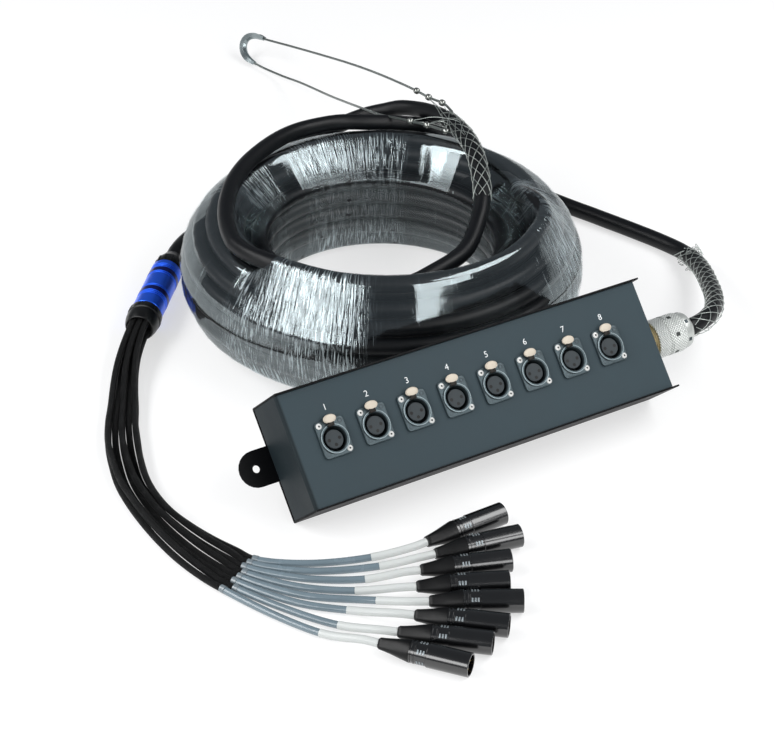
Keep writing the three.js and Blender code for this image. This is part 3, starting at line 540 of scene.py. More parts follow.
def put(name: str, data: bpy.types.ID) -> Piece:
    """Puts a mesh, curve, camera or light into the scene, at the origin."""
    obj = bpy.data.objects.new(name, data)
    bpy.context.scene.collection.objects.link(obj)
    return obj


def level_way(degrees: float) -> Vector:
    """Gives the level direction at an angle from the x axis."""
    turn = math.radians(degrees)
    return Vector((math.cos(turn), math.sin(turn), 0))


def pointing(way: Vector) -> Matrix:
    """Gives the turn that leads the z axis along a direction."""
    return Vector((0, 0, 1)).rotation_difference(way).to_matrix().to_4x4()


def eased(share: float) -> float:
    """Turns a share into one that starts and ends gently, held from 0 to 1."""
    held = min(1.0, max(0.0, share))
    return held * held * (3 - 2 * held)


class Shape:
    """A solid while it is being modelled, in millimetres of its sub-assembly's own frame."""

    def __init__(self, bm: bmesh.types.BMesh | None = None) -> None:
        """Starts a solid, empty unless it is given a mesh."""
        self.bm = bmesh.new() if bm is None else bm

    @classmethod
    def turned(cls, profile: Sequence[Pair], sides: int = 64, closed: bool = False) -> "Shape":
        """Turns a profile of (radius, height) about the z axis.

        Args:
            profile: The profile, from the axis to the axis unless it is closed.
            sides: Steps round the axis.
            closed: Whether the last point joins the first.

        Returns:
            The turned solid.
        """
        shape = cls()
        bm = shape.bm
        ring = [bm.verts.new((radius, 0.0, along)) for radius, along in profile]
        pairs = list(zip(ring, ring[1:])) + ([(ring[-1], ring[0])] if closed else [])
        return shape.spun(ring + [bm.edges.new(pair) for pair in pairs], sides)

    @classmethod
    def plate(cls, outline: Iterable[Pair], low: float, high: float) -> "Shape":
        """Raises a flat outline.

        Args:
            outline: The outline's corners.
            low: The height of its underside.
            high: The height of its top.

        Returns:
            The plate.
        """
        shape = cls()
        bm = shape.bm
        face = bm.faces.new([bm.verts.new((x, y, low)) for x, y in outline])
        return shape.raised([face], high - low)

    @classmethod
    def frame(
        cls, outer: Sequence[Pair], inner: Sequence[Pair], low: float, high: float,
    ) -> "Shape":
        """Raises a flat outline with a hole.

        Args:
            outer: The outer corners.
            inner: The hole's corners, as many and in the same order.
            low: The height of its underside.
            high: The height of its top.

        Returns:
            The plate with its hole.
        """
        shape = cls()
        bm = shape.bm
        loops = []
        for corners in (outer, inner):
            verts = [bm.verts.new((x, y, low)) for x, y in corners]
            loops += [bm.edges.new(pair) for pair in zip(verts, verts[1:] + verts[:1])]
        bmesh.ops.bridge_loops(bm, edges=loops)
        return shape.raised(bm.faces[:], high - low)

    def raised(self, faces: list, height: float) -> "Shape":
        """Raises flat faces, which become the underside, into a plate."""
        grown = bmesh.ops.extrude_face_region(self.bm, geom=faces)
        risen = [g for g in grown["geom"] if isinstance(g, bmesh.types.BMVert)]
        bmesh.ops.translate(self.bm, verts=risen, vec=(0, 0, height))
        return self.cleaned()

    @classmethod
    def block(cls, size: Spot, middle: Spot) -> "Shape":
        """Makes a block that a bevel then rounds.

        Args:
            size: Its lengths.
            middle: Its middle.

        Returns:
            The block.
        """
        shape = cls()
        place = Matrix.Translation(middle) @ Matrix.Diagonal((*size, 1.0))
        bmesh.ops.create_cube(shape.bm, size=1.0, matrix=place)
        return shape

    def spun(self, profile: list, sides: int) -> "Shape":
        """Turns the vertices and edges of a line about the z axis and closes the solid."""
        bmesh.ops.spin(
            self.bm, geom=profile, cent=(0, 0, 0), axis=(0, 0, 1), dvec=(0, 0, 0),
            angle=FULL_TURN, steps=sides, use_merge=True, use_duplicate=False,
        )
        return self.cleaned()

    def cleaned(self) -> "Shape":
        """Closes seams and poles and turns the faces outwards."""
        bmesh.ops.remove_doubles(self.bm, verts=self.bm.verts[:], dist=1e-4)
        bmesh.ops.dissolve_degenerate(self.bm, dist=1e-5, edges=self.bm.edges[:])
        bmesh.ops.recalc_face_normals(self.bm, faces=self.bm.faces[:])
        return self

    def bevelled(self, width: float, angle: float = 30.0, segments: int = 2) -> "Shape":
        """Rounds every sharp edge.

        Args:
            width: The bevel's width.
            angle: The least angle of an edge that is rounded, in degrees.
            segments: Steps across the bevel.

        Returns:
            The same solid.
        """
        least = math.radians(angle)
        walls = [edge for edge in self.bm.edges if len(edge.link_faces) == 2]
        bmesh.ops.bevel(
            self.bm, geom=[edge for edge in walls if edge.calc_face_angle(0.0) > least],
            offset=width, offset_type="OFFSET", segments=segments, profile=0.5,
            affect="EDGES", material=-1, clamp_overlap=True,
        )
        return self

    def moved(self, matrix: Matrix) -> "Shape":
        """Moves the solid within its frame."""
        bmesh.ops.transform(self.bm, matrix=matrix, verts=self.bm.verts[:])
        return self

    def at(self, x: float, y: float, z: float) -> "Shape":
        """Shifts the solid within its frame."""
        return self.moved(Matrix.Translation((x, y, z)))

    def with_(self, *others: "Shape") -> "Shape":
        """Adds other solids to this one.

        Args:
            *others: The solids that are taken in.

        Returns:
            This solid.
        """
        for other in others:
            mesh = bpy.data.meshes.new("joined")
            other.bm.to_mesh(mesh)
            self.bm.from_mesh(mesh)
            bpy.data.meshes.remove(mesh)
            other.bm.free()
        return self

    def around(self, count: int, start: float = 0.0) -> "Shape":
        """Repeats the solid evenly round the z axis.

        Args:
            count: How many there are.
            start: Where the first lies, as a share of the step to the next.

        Returns:
            All of them as one solid.
        """
        whole = Shape()
        for k in range(count):
            turn = Matrix.Rotation(FULL_TURN * (k + start) / count, 4, "Z")
            whole.with_(Shape(self.bm.copy()).moved(turn))
        self.bm.free()
        return whole

    def wrapped(self) -> "Shape":
        """Adds a UV map of the turn about z and the height, which both run from 0 to 1."""
        layer = self.bm.loops.layers.uv.new("wrap")
        heights = [v.co.z for v in self.bm.verts]
        low, tall = min(heights), max(max(heights) - min(heights), 1e-9)
        for face in self.bm.faces:
            turns = [math.atan2(l.vert.co.y, l.vert.co.x) / FULL_TURN for l in face.loops]
            last = max(turns)
            for loop, turn in zip(face.loops, turns):
                ahead = turn + 1.0 if last - turn > 0.5 else turn
                loop[layer].uv = (ahead, (loop.vert.co.z - low) / tall)
        return self

    def piece(
        self, name: str, finish: Finish, slot: Slot, place: Matrix,
        smooth: float = 40.0, body: str = Body.BOX.value,
    ) -> Piece:
        """Makes the solid a piece of the object.

        Args:
            name: The piece's name.
            finish: Its finish.
            slot: The record's slot.
            place: The sub-assembly's frame, in metres.
            smooth: The greatest angle in degrees that is shaded smooth.
            body: The body that it rides on.

        Returns:
            The piece.
        """
        self.moved(place @ Matrix.Scale(MM, 4))
        mesh = bpy.data.meshes.new(name)
        self.bm.to_mesh(mesh)
        self.bm.free()
        mesh.polygons.foreach_set("use_smooth", [True] * len(mesh.polygons))
        mesh.set_sharp_from_angle(angle=math.radians(smooth))
        return dress(put(name, mesh), finish, body, slot)


def ring_points(radius: float, count: int, start: float = 0.0) -> list[Pair]:
    """Gives evenly spaced points on a circle, the first at an angle in degrees."""
    angles = [math.radians(start) + FULL_TURN * k / count for k in range(count)]
    return [(radius * math.cos(a), radius * math.sin(a)) for a in angles]


def rounded_corners(width: float, height: float, radius: float, count: int) -> list[Pair]:
    """Gives points round a rectangle with round corners, at even angles from its middle.

    Args:
        width: The rectangle's width.
        height: The rectangle's height.
        radius: The corners' radius.
        count: How many points.

    Returns:
        The points.
    """
    points = []
    half_w, half_h = width / 2, height / 2
    for x, y in ring_points(1.0, count):
        reach = min(half_w / max(abs(x), 1e-9), half_h / max(abs(y), 1e-9))
        px, py = x * reach, y * reach
        cx = math.copysign(max(abs(px) - (half_w - radius), 0.0), px)
        cy = math.copysign(max(abs(py) - (half_h - radius), 0.0), py)
        if cx and cy:
            out = math.hypot(cx, cy)
            px += cx / out * radius - cx if out > radius else 0.0
            py += cy / out * radius - cy if out > radius else 0.0
        points.append((px, py))
    return points


# ---------------------------------------------------------------- cords


def smooth_line(points: Sequence[Spot], each: int) -> list[Vector]:
    """Draws the centripetal curve that the part's cords follow through chosen points.

    Args:
        points: The points that it goes through.
        each: Steps between two points.

    Returns:
        The points of the line.
    """
    known = [Vector(p) for p in points]
    known = [known[0] * 2 - known[1], *known, known[-1] * 2 - known[-2]]
    line = []
    for k in range(1, len(known) - 2):
        p0, p1, p2, p3 = known[k - 1 : k + 3]
        d0, d1, d2 = ((b - a).length ** 0.5 or 1.0 for a, b in ((p0, p1), (p1, p2), (p2, p3)))
        t1 = ((p1 - p0) / d0 - (p2 - p0) / (d0 + d1) + (p2 - p1) / d1) * d1
        t2 = ((p2 - p1) / d1 - (p3 - p1) / (d1 + d2) + (p3 - p2) / d2) * d1
        for step in range(each):
            t = step / each
            bend = p1 * -3 + p2 * 3 - t1 * 2 - t2
            line.append(p1 + t1 * t + bend * t * t + (p1 * 2 - p2 * 2 + t1 + t2) * t ** 3)
    return [*line, known[-2].copy()]


@dataclass
class Line:
    """A line of points in millimetres, with the distance along it."""

    points: list[Vector]
    reach: list[float] = field(init=False)

    def __post_init__(self) -> None:
        """Measures the distance along the line."""
        self.reach = [0.0]
        for a, b in zip(self.points, self.points[1:]):
            self.reach.append(self.reach[-1] + (b - a).length)

    @property
    def length(self) -> float:
        """The line's whole length."""
        return self.reach[-1]

    def at(self, distance: float) -> Vector:
        """Gives the point at a distance along the line."""
        k = min(max(bisect(self.reach, distance) - 1, 0), len(self.points) - 2)
        step = self.reach[k + 1] - self.reach[k] or 1.0
        return self.points[k].lerp(self.points[k + 1], (distance - self.reach[k]) / step)

    def way(self, distance: float, reach: float = 1.0) -> Vector:
        """Gives the direction at a distance, between the points a reach to either side."""
        return (self.at(distance + reach) - self.at(distance - reach)).normalized()

    def nearest(self, spot: Spot) -> float:
        """Gives the distance along the line of the point nearest to a spot."""
        best = min(range(len(self.points)), key=lambda k: (self.points[k] - Vector(spot)).length)
        return self.reach[best]

    def part(self, start: float, end: float, spacing: float) -> "Line":
        """Cuts out the stretch between two distances, with evenly spaced points."""
        count = max(2, round((end - start) / spacing))
        return Line([self.at(start + (end - start) * k / count) for k in range(count + 1)])

    def round_about(
        self, radius: float, turns: float, start: float, spacing: float,
    ) -> list[Vector]:
        """Winds a wire round the line.

        Args:
            radius: The wire's distance from the line.
            turns: Turns along the whole line, negative for the other hand.
            start: The first point's angle in degrees.
            spacing: The distance between the wire's points along the line.

        Returns:
            The wire's points.
        """
        count = max(8, round(self.length / spacing))
        side = Vector((0, 0, 1)).cross(self.points[1] - self.points[0]).normalized()
        wire = []
        for k in range(count + 1):
            along = self.length * k / count
            way = self.way(along)
            side = (side - way * side.dot(way)).normalized()
            angle = math.radians(start) + FULL_TURN * turns * k / count
            out = side * (radius * math.cos(angle))
            wire.append(self.at(along) + out + way.cross(side) * (radius * math.sin(angle)))
        return wire


def tube(
    name: str, lines: Sequence[Sequence[Vector]], diameter: float, sides: int,
    finish: Finish, slot: Slot,
) -> Piece:
    """Makes a piece of one or more round cords.

    Args:
        name: The piece's name.
        lines: The cords' points in millimetres.
        diameter: Their diameter in millimetres.
        sides: Sides round a cord.
        finish: The piece's finish.
        slot: The record's slot.

    Returns:
        The piece.
    """
    curve = bpy.data.curves.new(name, "CURVE")
    curve.dimensions = "3D"
    curve.twist_mode = "MINIMUM"
    curve.bevel_depth = diameter / 2 * MM
    curve.bevel_resolution = sides // 2 - 2
    curve.use_fill_caps = True
    for line in lines:
        spline = curve.splines.new("POLY")
        spline.points.add(len(line) - 1)
        flat = [c for p in line for c in (p.x * MM, p.y * MM, p.z * MM, 1.0)]
        spline.points.foreach_set("co", flat)
        spline.use_smooth = True
    return dress(put(name, curve), finish, Body.BOX.value, slot)


def on_floor(points: Iterable[Vector], diameter: float) -> list[Vector]:
    """Keeps a cord of a diameter above the floor."""
    return [Vector((p.x, p.y, max(p.z, diameter / 2 + FLOOR_GAP))) for p in points]


# ---------------------------------------------------------------- camera, light and floor


@dataclass
class Studio:
    """The camera at the photograph's angle, a pale floor and soft lights."""

    target: Spot = (-3.591, 146.8, 0.0)
    turn: float = 30.3418
    height: float = 33.4453
    distance: float = 2031.8
    focal: float = 2263.4
    picture_width: float = 774.0
    sensor: float = 36.0
    floor_size: float = 12.0
    floor_drop: float = 0.0004
    floor_grey: float = 0.42
    floor_glow: float = 0.6
    sky: Colour = (0.86, 0.92, 1.0)
    sky_strength: float = 0.2
    aim: float = 0.1

    def axes(self) -> tuple[Vector, Vector]:
        """Gives the level directions to the camera's right and away from it."""
        turn = math.radians(self.turn)
        right = Vector((math.cos(turn), -math.sin(turn), 0))
        return right, Vector((math.sin(turn), math.cos(turn), 0))

    def build(self) -> None:
        """Makes the camera, the floor, the sky and the lights."""
        right, away = self.axes()
        height = math.radians(self.height)
        ahead = away * math.cos(height) - Vector((0, 0, math.sin(height)))
        up = away * math.sin(height) + Vector((0, 0, math.cos(height)))
        camera = put("camera", bpy.data.cameras.new("camera"))
        camera.data.sensor_fit = "HORIZONTAL"
        camera.data.sensor_width = self.sensor
        camera.data.lens = self.sensor * self.focal / self.picture_width
        camera.data.clip_end = 50
        turned = Matrix((right, up, -ahead)).transposed().to_4x4()
        stand = (Vector(self.target) - ahead * self.distance) * MM
        camera.matrix_world = Matrix.Translation(stand) @ turned
        bpy.context.scene.camera = camera
        self.lay_floor()
        self.raise_sky()
        self.softbox("left softbox", (-1.55, -0.3, 1.35), (0.8, 1.8), 34)
        self.softbox("right softbox", (1.3, -0.3, 1.35), (1.05, 1.8), 30)
        self.softbox("front left softbox", (-1.6, -1.65, 1.0), (2.2, 0.9), 32, level=False)
        self.softbox("front right softbox", (1.35, -1.85, 1.02), (1.5, 0.8), 18, level=False)
        bpy.context.scene.view_settings.view_transform = "Standard"

    def lay_floor(self) -> None:
        """Makes the pale floor."""
        bm = bmesh.new()
        bmesh.ops.create_grid(bm, x_segments=4, y_segments=4, size=self.floor_size)
        mesh = bpy.data.meshes.new("floor")
        bm.to_mesh(mesh)
        bm.free()
        floor = put("floor", mesh)
        floor.location.z = -self.floor_drop
        recipe = Recipe("pale floor")
        for name, value in {
            "Base Color": (*[self.floor_grey] * 3, 1), "Roughness": 0.9, "Specular IOR Level": 0.0,
            "Emission Color": (1, 1, 1, 1), "Emission Strength": self.floor_glow,
        }.items():
            recipe.shader.inputs[name].default_value = value
        mesh.materials.append(recipe.material)

    def raise_sky(self) -> None:
        """Makes an even pale sky."""
        world = bpy.data.worlds.new("studio")
        world.use_nodes = True
        background = world.node_tree.nodes["Background"]
        background.inputs["Color"].default_value = (*self.sky, 1)
        background.inputs["Strength"].default_value = self.sky_strength
        bpy.context.scene.world = world

    def softbox(self, name: str, spot: Spot, size: Pair, power: float, level: bool = True) -> None:
        """Hangs a softbox.

        Args:
            name: The light's name.
            spot: Its place to the right of, beyond and above the coil's middle, in metres.
            size: Its width and length in metres.
            power: Its power in watts.
            level: Whether it hangs level, or else faces the coil.
        """
        right, away = self.axes()
        light = bpy.data.lights.new(name, "AREA")
        light.shape = "RECTANGLE"
        light.size, light.size_y = size
        light.energy = power
        middle = Vector((COIL_MIDDLE[0] * MM, COIL_MIDDLE[1] * MM, self.aim))
        place = middle + right * spot[0] + away * spot[1] + Vector((0, 0, spot[2]))
        back = Vector((0, 0, 1)) if level else (place - middle).normalized()
        side = right if level else Vector((0, 0, 1)).cross(back).normalized()
        turned = Matrix((side, back.cross(side), back)).transposed().to_4x4()
        lamp = put(name, light)
        lamp.matrix_world = Matrix.Translation(place) @ turned
        lamp.visible_camera = False


# ---------------------------------------------------------------- the wound cable


class RingSection:
    """The closed line, in radius and height, that one layer of turns follows round the coil."""

    def __init__(
        self, inner: float, outer: float, low: float, high: float, bends: Sequence[float],
    ) -> None:
        """Lays the line out from the inner ridge: over the top, down, underneath and up again.

        Args:
            inner: The layer's inner radius.
            outer: The layer's outer radius.
            low: Its lowest height.
            high: Its highest height.
            bends: The corners' radii: outer top, outer bottom, inner bottom and inner top.
        """
        top_out, low_out, low_in, top_in = bends
        corners = [
            (outer - top_out, high - top_out, top_out, 90.0),
            (outer - low_out, low + low_out, low_out, 0.0),
            (inner + low_in, low + low_in, low_in, -90.0),
            (inner + top_in, high - top_in, top_in, -180.0),
        ]
        here = Vector((inner + top_in, high))
        self.spans: list[tuple[float, Callable[[float], Vector]]] = []
        for x, z, bend, first in corners:
            corner = self.corner(x, z, bend, math.radians(first))
            entry = corner(0.0)
            self.spans.append(((entry - here).length, lambda t, a=here, b=entry: a.lerp(b, t)))
            self.spans.append((bend * math.pi / 2, corner))
            here = corner(1.0)
        self.length = sum(length for length, _ in self.spans)

    @staticmethod
    def corner(x: float, z: float, bend: float, start: float) -> Callable[[float], Vector]:
        """Gives the line round one corner, clockwise from an angle, by its share from 0 to 1."""
        def place(share: float) -> Vector:
            """Gives the point at a share of the corner."""
            turn = start - math.pi / 2 * share
            return Vector((x + bend * math.cos(turn), z + bend * math.sin(turn)))
        return place

    def point(self, along: float) -> Vector:
        """Gives the point at a distance along the line."""
        left = along % self.length
        for length, place in self.spans:
            if left <= length and length > 1e-9:
                return place(left / length)
            left -= length
        return self.spans[-1][1](1.0)

    def outwards(self, along: float) -> Vector:
        """Gives the direction out of the layer at a distance along the line."""
        ahead, behind = self.point(along + 0.05), self.point(along - 0.05)
        return Vector((behind.y - ahead.y, ahead.x - behind.x)).normalized()


@dataclass
class WoundCable:
    """The multicore cable, one cord from the box to the splitter, wound in a ring.

    The bends are those of the outer top, outer bottom, inner bottom and inner top. Angles are in
    degrees round the coil. The lead from the box rides on the turns over lead_ride, and then
    rolls down between them over lead_in. The cable leaves the outer layer at dive, makes its core
    turns, winds the layer under the outer one, and takes climb from each layer to the next.
    """

    diameter: float = 15.5
    middle: Pair = COIL_MIDDLE
    inner: float = 104.0
    outer: float = 185.0
    height: float = 113.0
    bends: tuple[float, ...] = (60.0, 48.0, 22.0, 20.0)
    pitch: float = 16.3
    turns: float = 15.21
    start: float = 208.0
    flat_share: float = 0.1
    lead_ride: float = 68.0
    lead_in: float = 72.0
    lead_in_reach: float = 20.0
    lead_in_clearance: float = 1.0
    lead_out: float = 60.0
    lead_out_clearance: float = 9.0
    way_step: float = 0.002
    layer: float = 15.6
    core_low: float = 42.0
    core_radius: float = 144.5
    core_turns: int = 2
    under_turns: float = 8 + 300 / 360
    dive: float = 350.0
    climb: float = 60.0
    steps: int = 48
    run_steps: int = 8
    gap: float = 0.3
    box_bend: Pair = (34.0, 30.0)
    end_ease: float = 54.0
    eases: int = 60
    box_face: Spot = (215.3, -1.648, 52.538)
    box_run: tuple[Spot, ...] = (
        (250.5, 9, 50.8), (268.2, 27.9, 45), (285.6, 52, 38), (302, 79, 30), (318.8, 109.3, 22),
        (330.9, 137, 15), (336.5, 163, 10), (333.5, 188, 8), (323.5, 219, 7.8), (311.1, 252.2, 7.8),
        (299.5, 282, 7.8), (286, 309, 10), (262, 330, 21), (230, 344, 46), (196, 355.5, 78),
        (167.5, 366, 99), (140, 374.5, 106), (113.5, 382.5, 110.5), (87.5, 391, 113.5),
        (60.8, 391.7, 116), (38.8, 389.2, 117.5), (15, 380.9, 119), (-13.6, 364.9, 120.5),
        (-37.8, 347.7, 121), (-61, 325.7, 121), (-80.9, 299.8, 120.3), (-96.4, 272.3, 118.6),
        (-106.9, 242.2, 117.2), (-110, 212.6, 116.9),
    )
    splitter_run: tuple[Spot, ...] = (
        (107.9, 178.4, 93.5), (115.8, 185.8, 98), (123.1, 193.6, 102.5), (129.7, 202, 107),
        (135.6, 211.3, 111.3), (140.8, 221.4, 115.5), (145.2, 231.4, 119), (152.8, 249.3, 123.3),
        (161.1, 274, 125), (168.1, 303.8, 124), (171.8, 332.4, 121), (171.8, 360, 115.8),
        (168.5, 382.7, 110.5), (160.4, 401.7, 105.5), (151.5, 414, 99.5), (137, 429, 91.5),
        (114, 441, 81), (75, 450, 65), (32, 452, 45), (-10, 445, 26), (-43.3, 433.5, 14),
        (-68, 420, 13.5),
    )
    splitter_face: Spot = (-97.8, 390.0, 16.0)
    splitter_heading: float = -130.0

    def __post_init__(self) -> None:
        """Works out the layers' sections and the places of their turns."""
        self.section = self.layer_section(self.diameter / 2)
        self.places = self.march(self.section, self.turns + 1)
        inset = self.diameter / 2 + self.layer
        self.under = self.layer_section(inset, self.diameter * self.flat_share)
        self.under_places = self.march(self.under, self.under_turns + 1)

    def layer_section(self, inset: float, lift: float = 0.0) -> RingSection:
        """Gives the section of a layer.

        Args:
            inset: How deep the layer's middle line lies in the coil.
            lift: How much higher its lowest turns lie.

        Returns:
            The section.
        """
        low = inset + lift - self.diameter * self.flat_share
        inner, outer = self.inner + inset, self.outer - inset
        room = outer - inner
        top_out, low_out, low_in, top_in = (max(b - inset, 3.0) for b in self.bends)
        bends = (min(top_out, room - top_in - 1), min(low_out, room - low_in - 1), low_in, top_in)
        return RingSection(inner, outer, low, self.height - inset, bends)

    def march(self, section: RingSection, turns: float) -> list[float]:
        """Places the turns of a layer, a pitch apart in a straight line.

        Args:
            section: The layer's section.
            turns: How many turns are placed at least.

        Returns:
            The distances along the section.
        """
        places = [0.0]
        while len(places) <= turns:
            here = places[-1]
            ahead = here + self.pitch
            while (section.point(ahead) - section.point(here)).length < self.pitch:
                ahead += 0.05
            places.append(ahead)
        return places

    @staticmethod
    def between(places: Sequence[float], turn: float) -> float:
        """Gives the distance along the section after a number of turns."""
        whole = min(int(turn), len(places) - 2)
        return places[whole] + (places[whole + 1] - places[whole]) * (turn - whole)

    def lead_shift(self, share: float) -> Pair:
        """Rolls the lead that comes from the box off the turn beside it.

        Args:
            share: How far the lead has rolled, from 0 to 1.

        Returns:
            The shift along the layer and out of it.
        """
        roll = math.pi / 2 * eased(2 * share)
        beyond = (self.lead_in_reach - self.pitch) * eased(2 * share - 1)
        out = self.pitch * math.sin(roll) + self.lead_in_clearance * share
        return self.pitch * (1 - math.cos(roll)) + beyond, out

    def spot(self, angle: float, radius: float, height: float) -> Vector:
        """Gives a point from its angle in degrees, radius and height."""
        turn = math.radians(angle)
        return Vector((
            self.middle[0] + radius * math.cos(turn), self.middle[1] + radius * math.sin(turn),
            max(height, self.diameter / 2 + FLOOR_GAP),
        ))

    def section_spot(self, turn: float) -> Vector:
        """Gives the radius and height of the outer layer after a number of turns."""
        lead_in = min(1.0, max(0.0, 1 - (turn * 360 - self.lead_ride) / self.lead_in))
        lead_out = max(0.0, 1 - (self.turns - turn) * 360 / self.lead_out)
        shift, lift = self.lead_shift(lead_in)
        lift += (self.pitch + self.lead_out_clearance) * eased(lead_out)
        along = self.between(self.places, turn) + shift
        return self.section.point(along) + self.section.outwards(along) * lift

    def coil_point(self, turn: float) -> Vector:
        """Gives the outer layer's point after a number of turns."""
        radius, height = self.section_spot(turn)
        return self.spot(self.start + 360 * turn, radius, height)

    def blend(self, first: float, a: Vector, b: Vector) -> list[Vector]:
        """Moves smoothly from one place in the section to another.

        Args:
            first: The angle where it starts.
            a: The radius and height at the start.
            b: The radius and height at the end.

        Returns:
            The points, without the last.
        """
        count = round(self.climb / 360 * self.steps)
        shares = [k / count for k in range(count)]
        ways = [(first + self.climb * share, a.lerp(b, eased(share))) for share in shares]
        return [self.spot(angle, at.x, at.y) for angle, at in ways]

    def winding(self) -> list[Vector]:
        """Winds the cable: down through the outer layer, up the core, under layer, outer layer."""
        core = self.dive + self.climb
        dive_turn = (self.dive - self.start) / 360
        rejoin_turn = (core + self.climb - self.start) / 360
        lead = round(dive_turn * 2 * self.steps)
        points = [self.coil_point(dive_turn * k / lead) for k in range(lead)]
        core_foot = Vector((self.core_radius, self.core_low))
        core_head = Vector((self.core_radius, self.core_low + self.core_turns * self.pitch))
        points += self.blend(self.dive, self.section_spot(dive_turn), core_foot)
        count = self.core_turns * self.steps
        for k in range(count):
            at = core_foot.lerp(core_head, k / count)
            points.append(self.spot(core + 360 * self.core_turns * k / count, at.x, at.y))
        points += self.blend(core, core_head, self.under.point(0.0))
        count = round(self.under_turns * self.steps)
        for k in range(count):
            turn = self.under_turns * k / count
            at = self.under.point(self.between(self.under_places, turn))
            points.append(self.spot(core + self.climb - 360 + 360 * turn, at.x, at.y))
        last = self.under.point(self.between(self.under_places, self.under_turns))
        points += self.blend(core, last, self.section_spot(rejoin_turn))
        count = round((self.turns - rejoin_turn) * self.steps)
        step = (self.turns - rejoin_turn) / count
        return points + [self.coil_point(rejoin_turn + step * k) for k in range(count + 1)]

    def line(self) -> Line:
        """Gives the whole cable's centreline."""
        first, last = self.coil_point(0), self.coil_point(self.turns)
        way_in = (first - self.coil_point(self.way_step)).normalized()
        way_out = (last - self.coil_point(self.turns - self.way_step)).normalized()
        way_on = level_way(self.splitter_heading)
        face, nut = Vector(self.box_face), Vector(self.splitter_face)
        begun = first + way_in * (self.diameter + self.gap)
        ended = last + way_out * (self.diameter + self.gap)
        to_box = [
            face, face + Vector((self.diameter, 0, 0)), *self.box_run,
            begun + way_in * self.diameter, begun,
        ]
        to_splitter = [
            ended, ended + way_out * self.diameter / 2, *self.splitter_run,
            nut - way_on * (self.diameter + self.gap), nut - way_on * self.gap,
        ]
        self.box_line = Line(smooth_line(to_box, self.run_steps))
        self.splitter_line = Line(smooth_line(to_splitter, self.run_steps))
        whole = Line([*self.box_line.points, *self.winding(), *self.splitter_line.points])
        ends = ((whole.nearest(spot), self.end_ease) for spot in (begun, ended))
        for middle, reach in (self.box_bend, *ends):
            whole = self.relaxed(whole, middle, reach)
        for spot in whole.points:
            spot.z = max(spot.z, self.diameter / 2 + FLOOR_GAP)
        return whole

    def relaxed(self, line: Line, middle: float, reach: float) -> Line:
        """Lets the stiff cable ease its bend round a place.

        Args:
            line: The cable's line.
            middle: The place, as a distance along the line.
            reach: How far the bend spreads to either side.

        Returns:
            The line with the eased bend.
        """
        bend = line.part(middle - reach, middle + reach, 3.0).points
        for _ in range(self.eases):
            inner = ((a + b * 2 + c) / 4 for a, b, c in zip(bend, bend[1:], bend[2:]))
            bend = [bend[0], *inner, bend[-1]]
        before = [p for p, r in zip(line.points, line.reach) if r < middle - reach - 0.5]
        after = [p for p, r in zip(line.points, line.reach) if r > middle + reach + 0.5]
        return Line([*before, *bend, *after])

    def build(self) -> Piece:
        """Makes the cable.

        Returns:
            The cable's piece.
        """
        self.whole = self.line()
        points = [self.whole.points]
        cable = tube("multicore_cable", points, self.diameter, 14, JACKET, Slot.JACKET)
        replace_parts(cable, "cable_coil", "cable_coil_core", "cable_to_box", "cable_to_splitter")
        return cable

    def bearing(self, spot: Vector) -> float:
        """Gives a point's angle about the coil's middle, from 0 to 360 degrees."""
        return math.degrees(math.atan2(spot.y - self.middle[1], spot.x - self.middle[0])) % 360


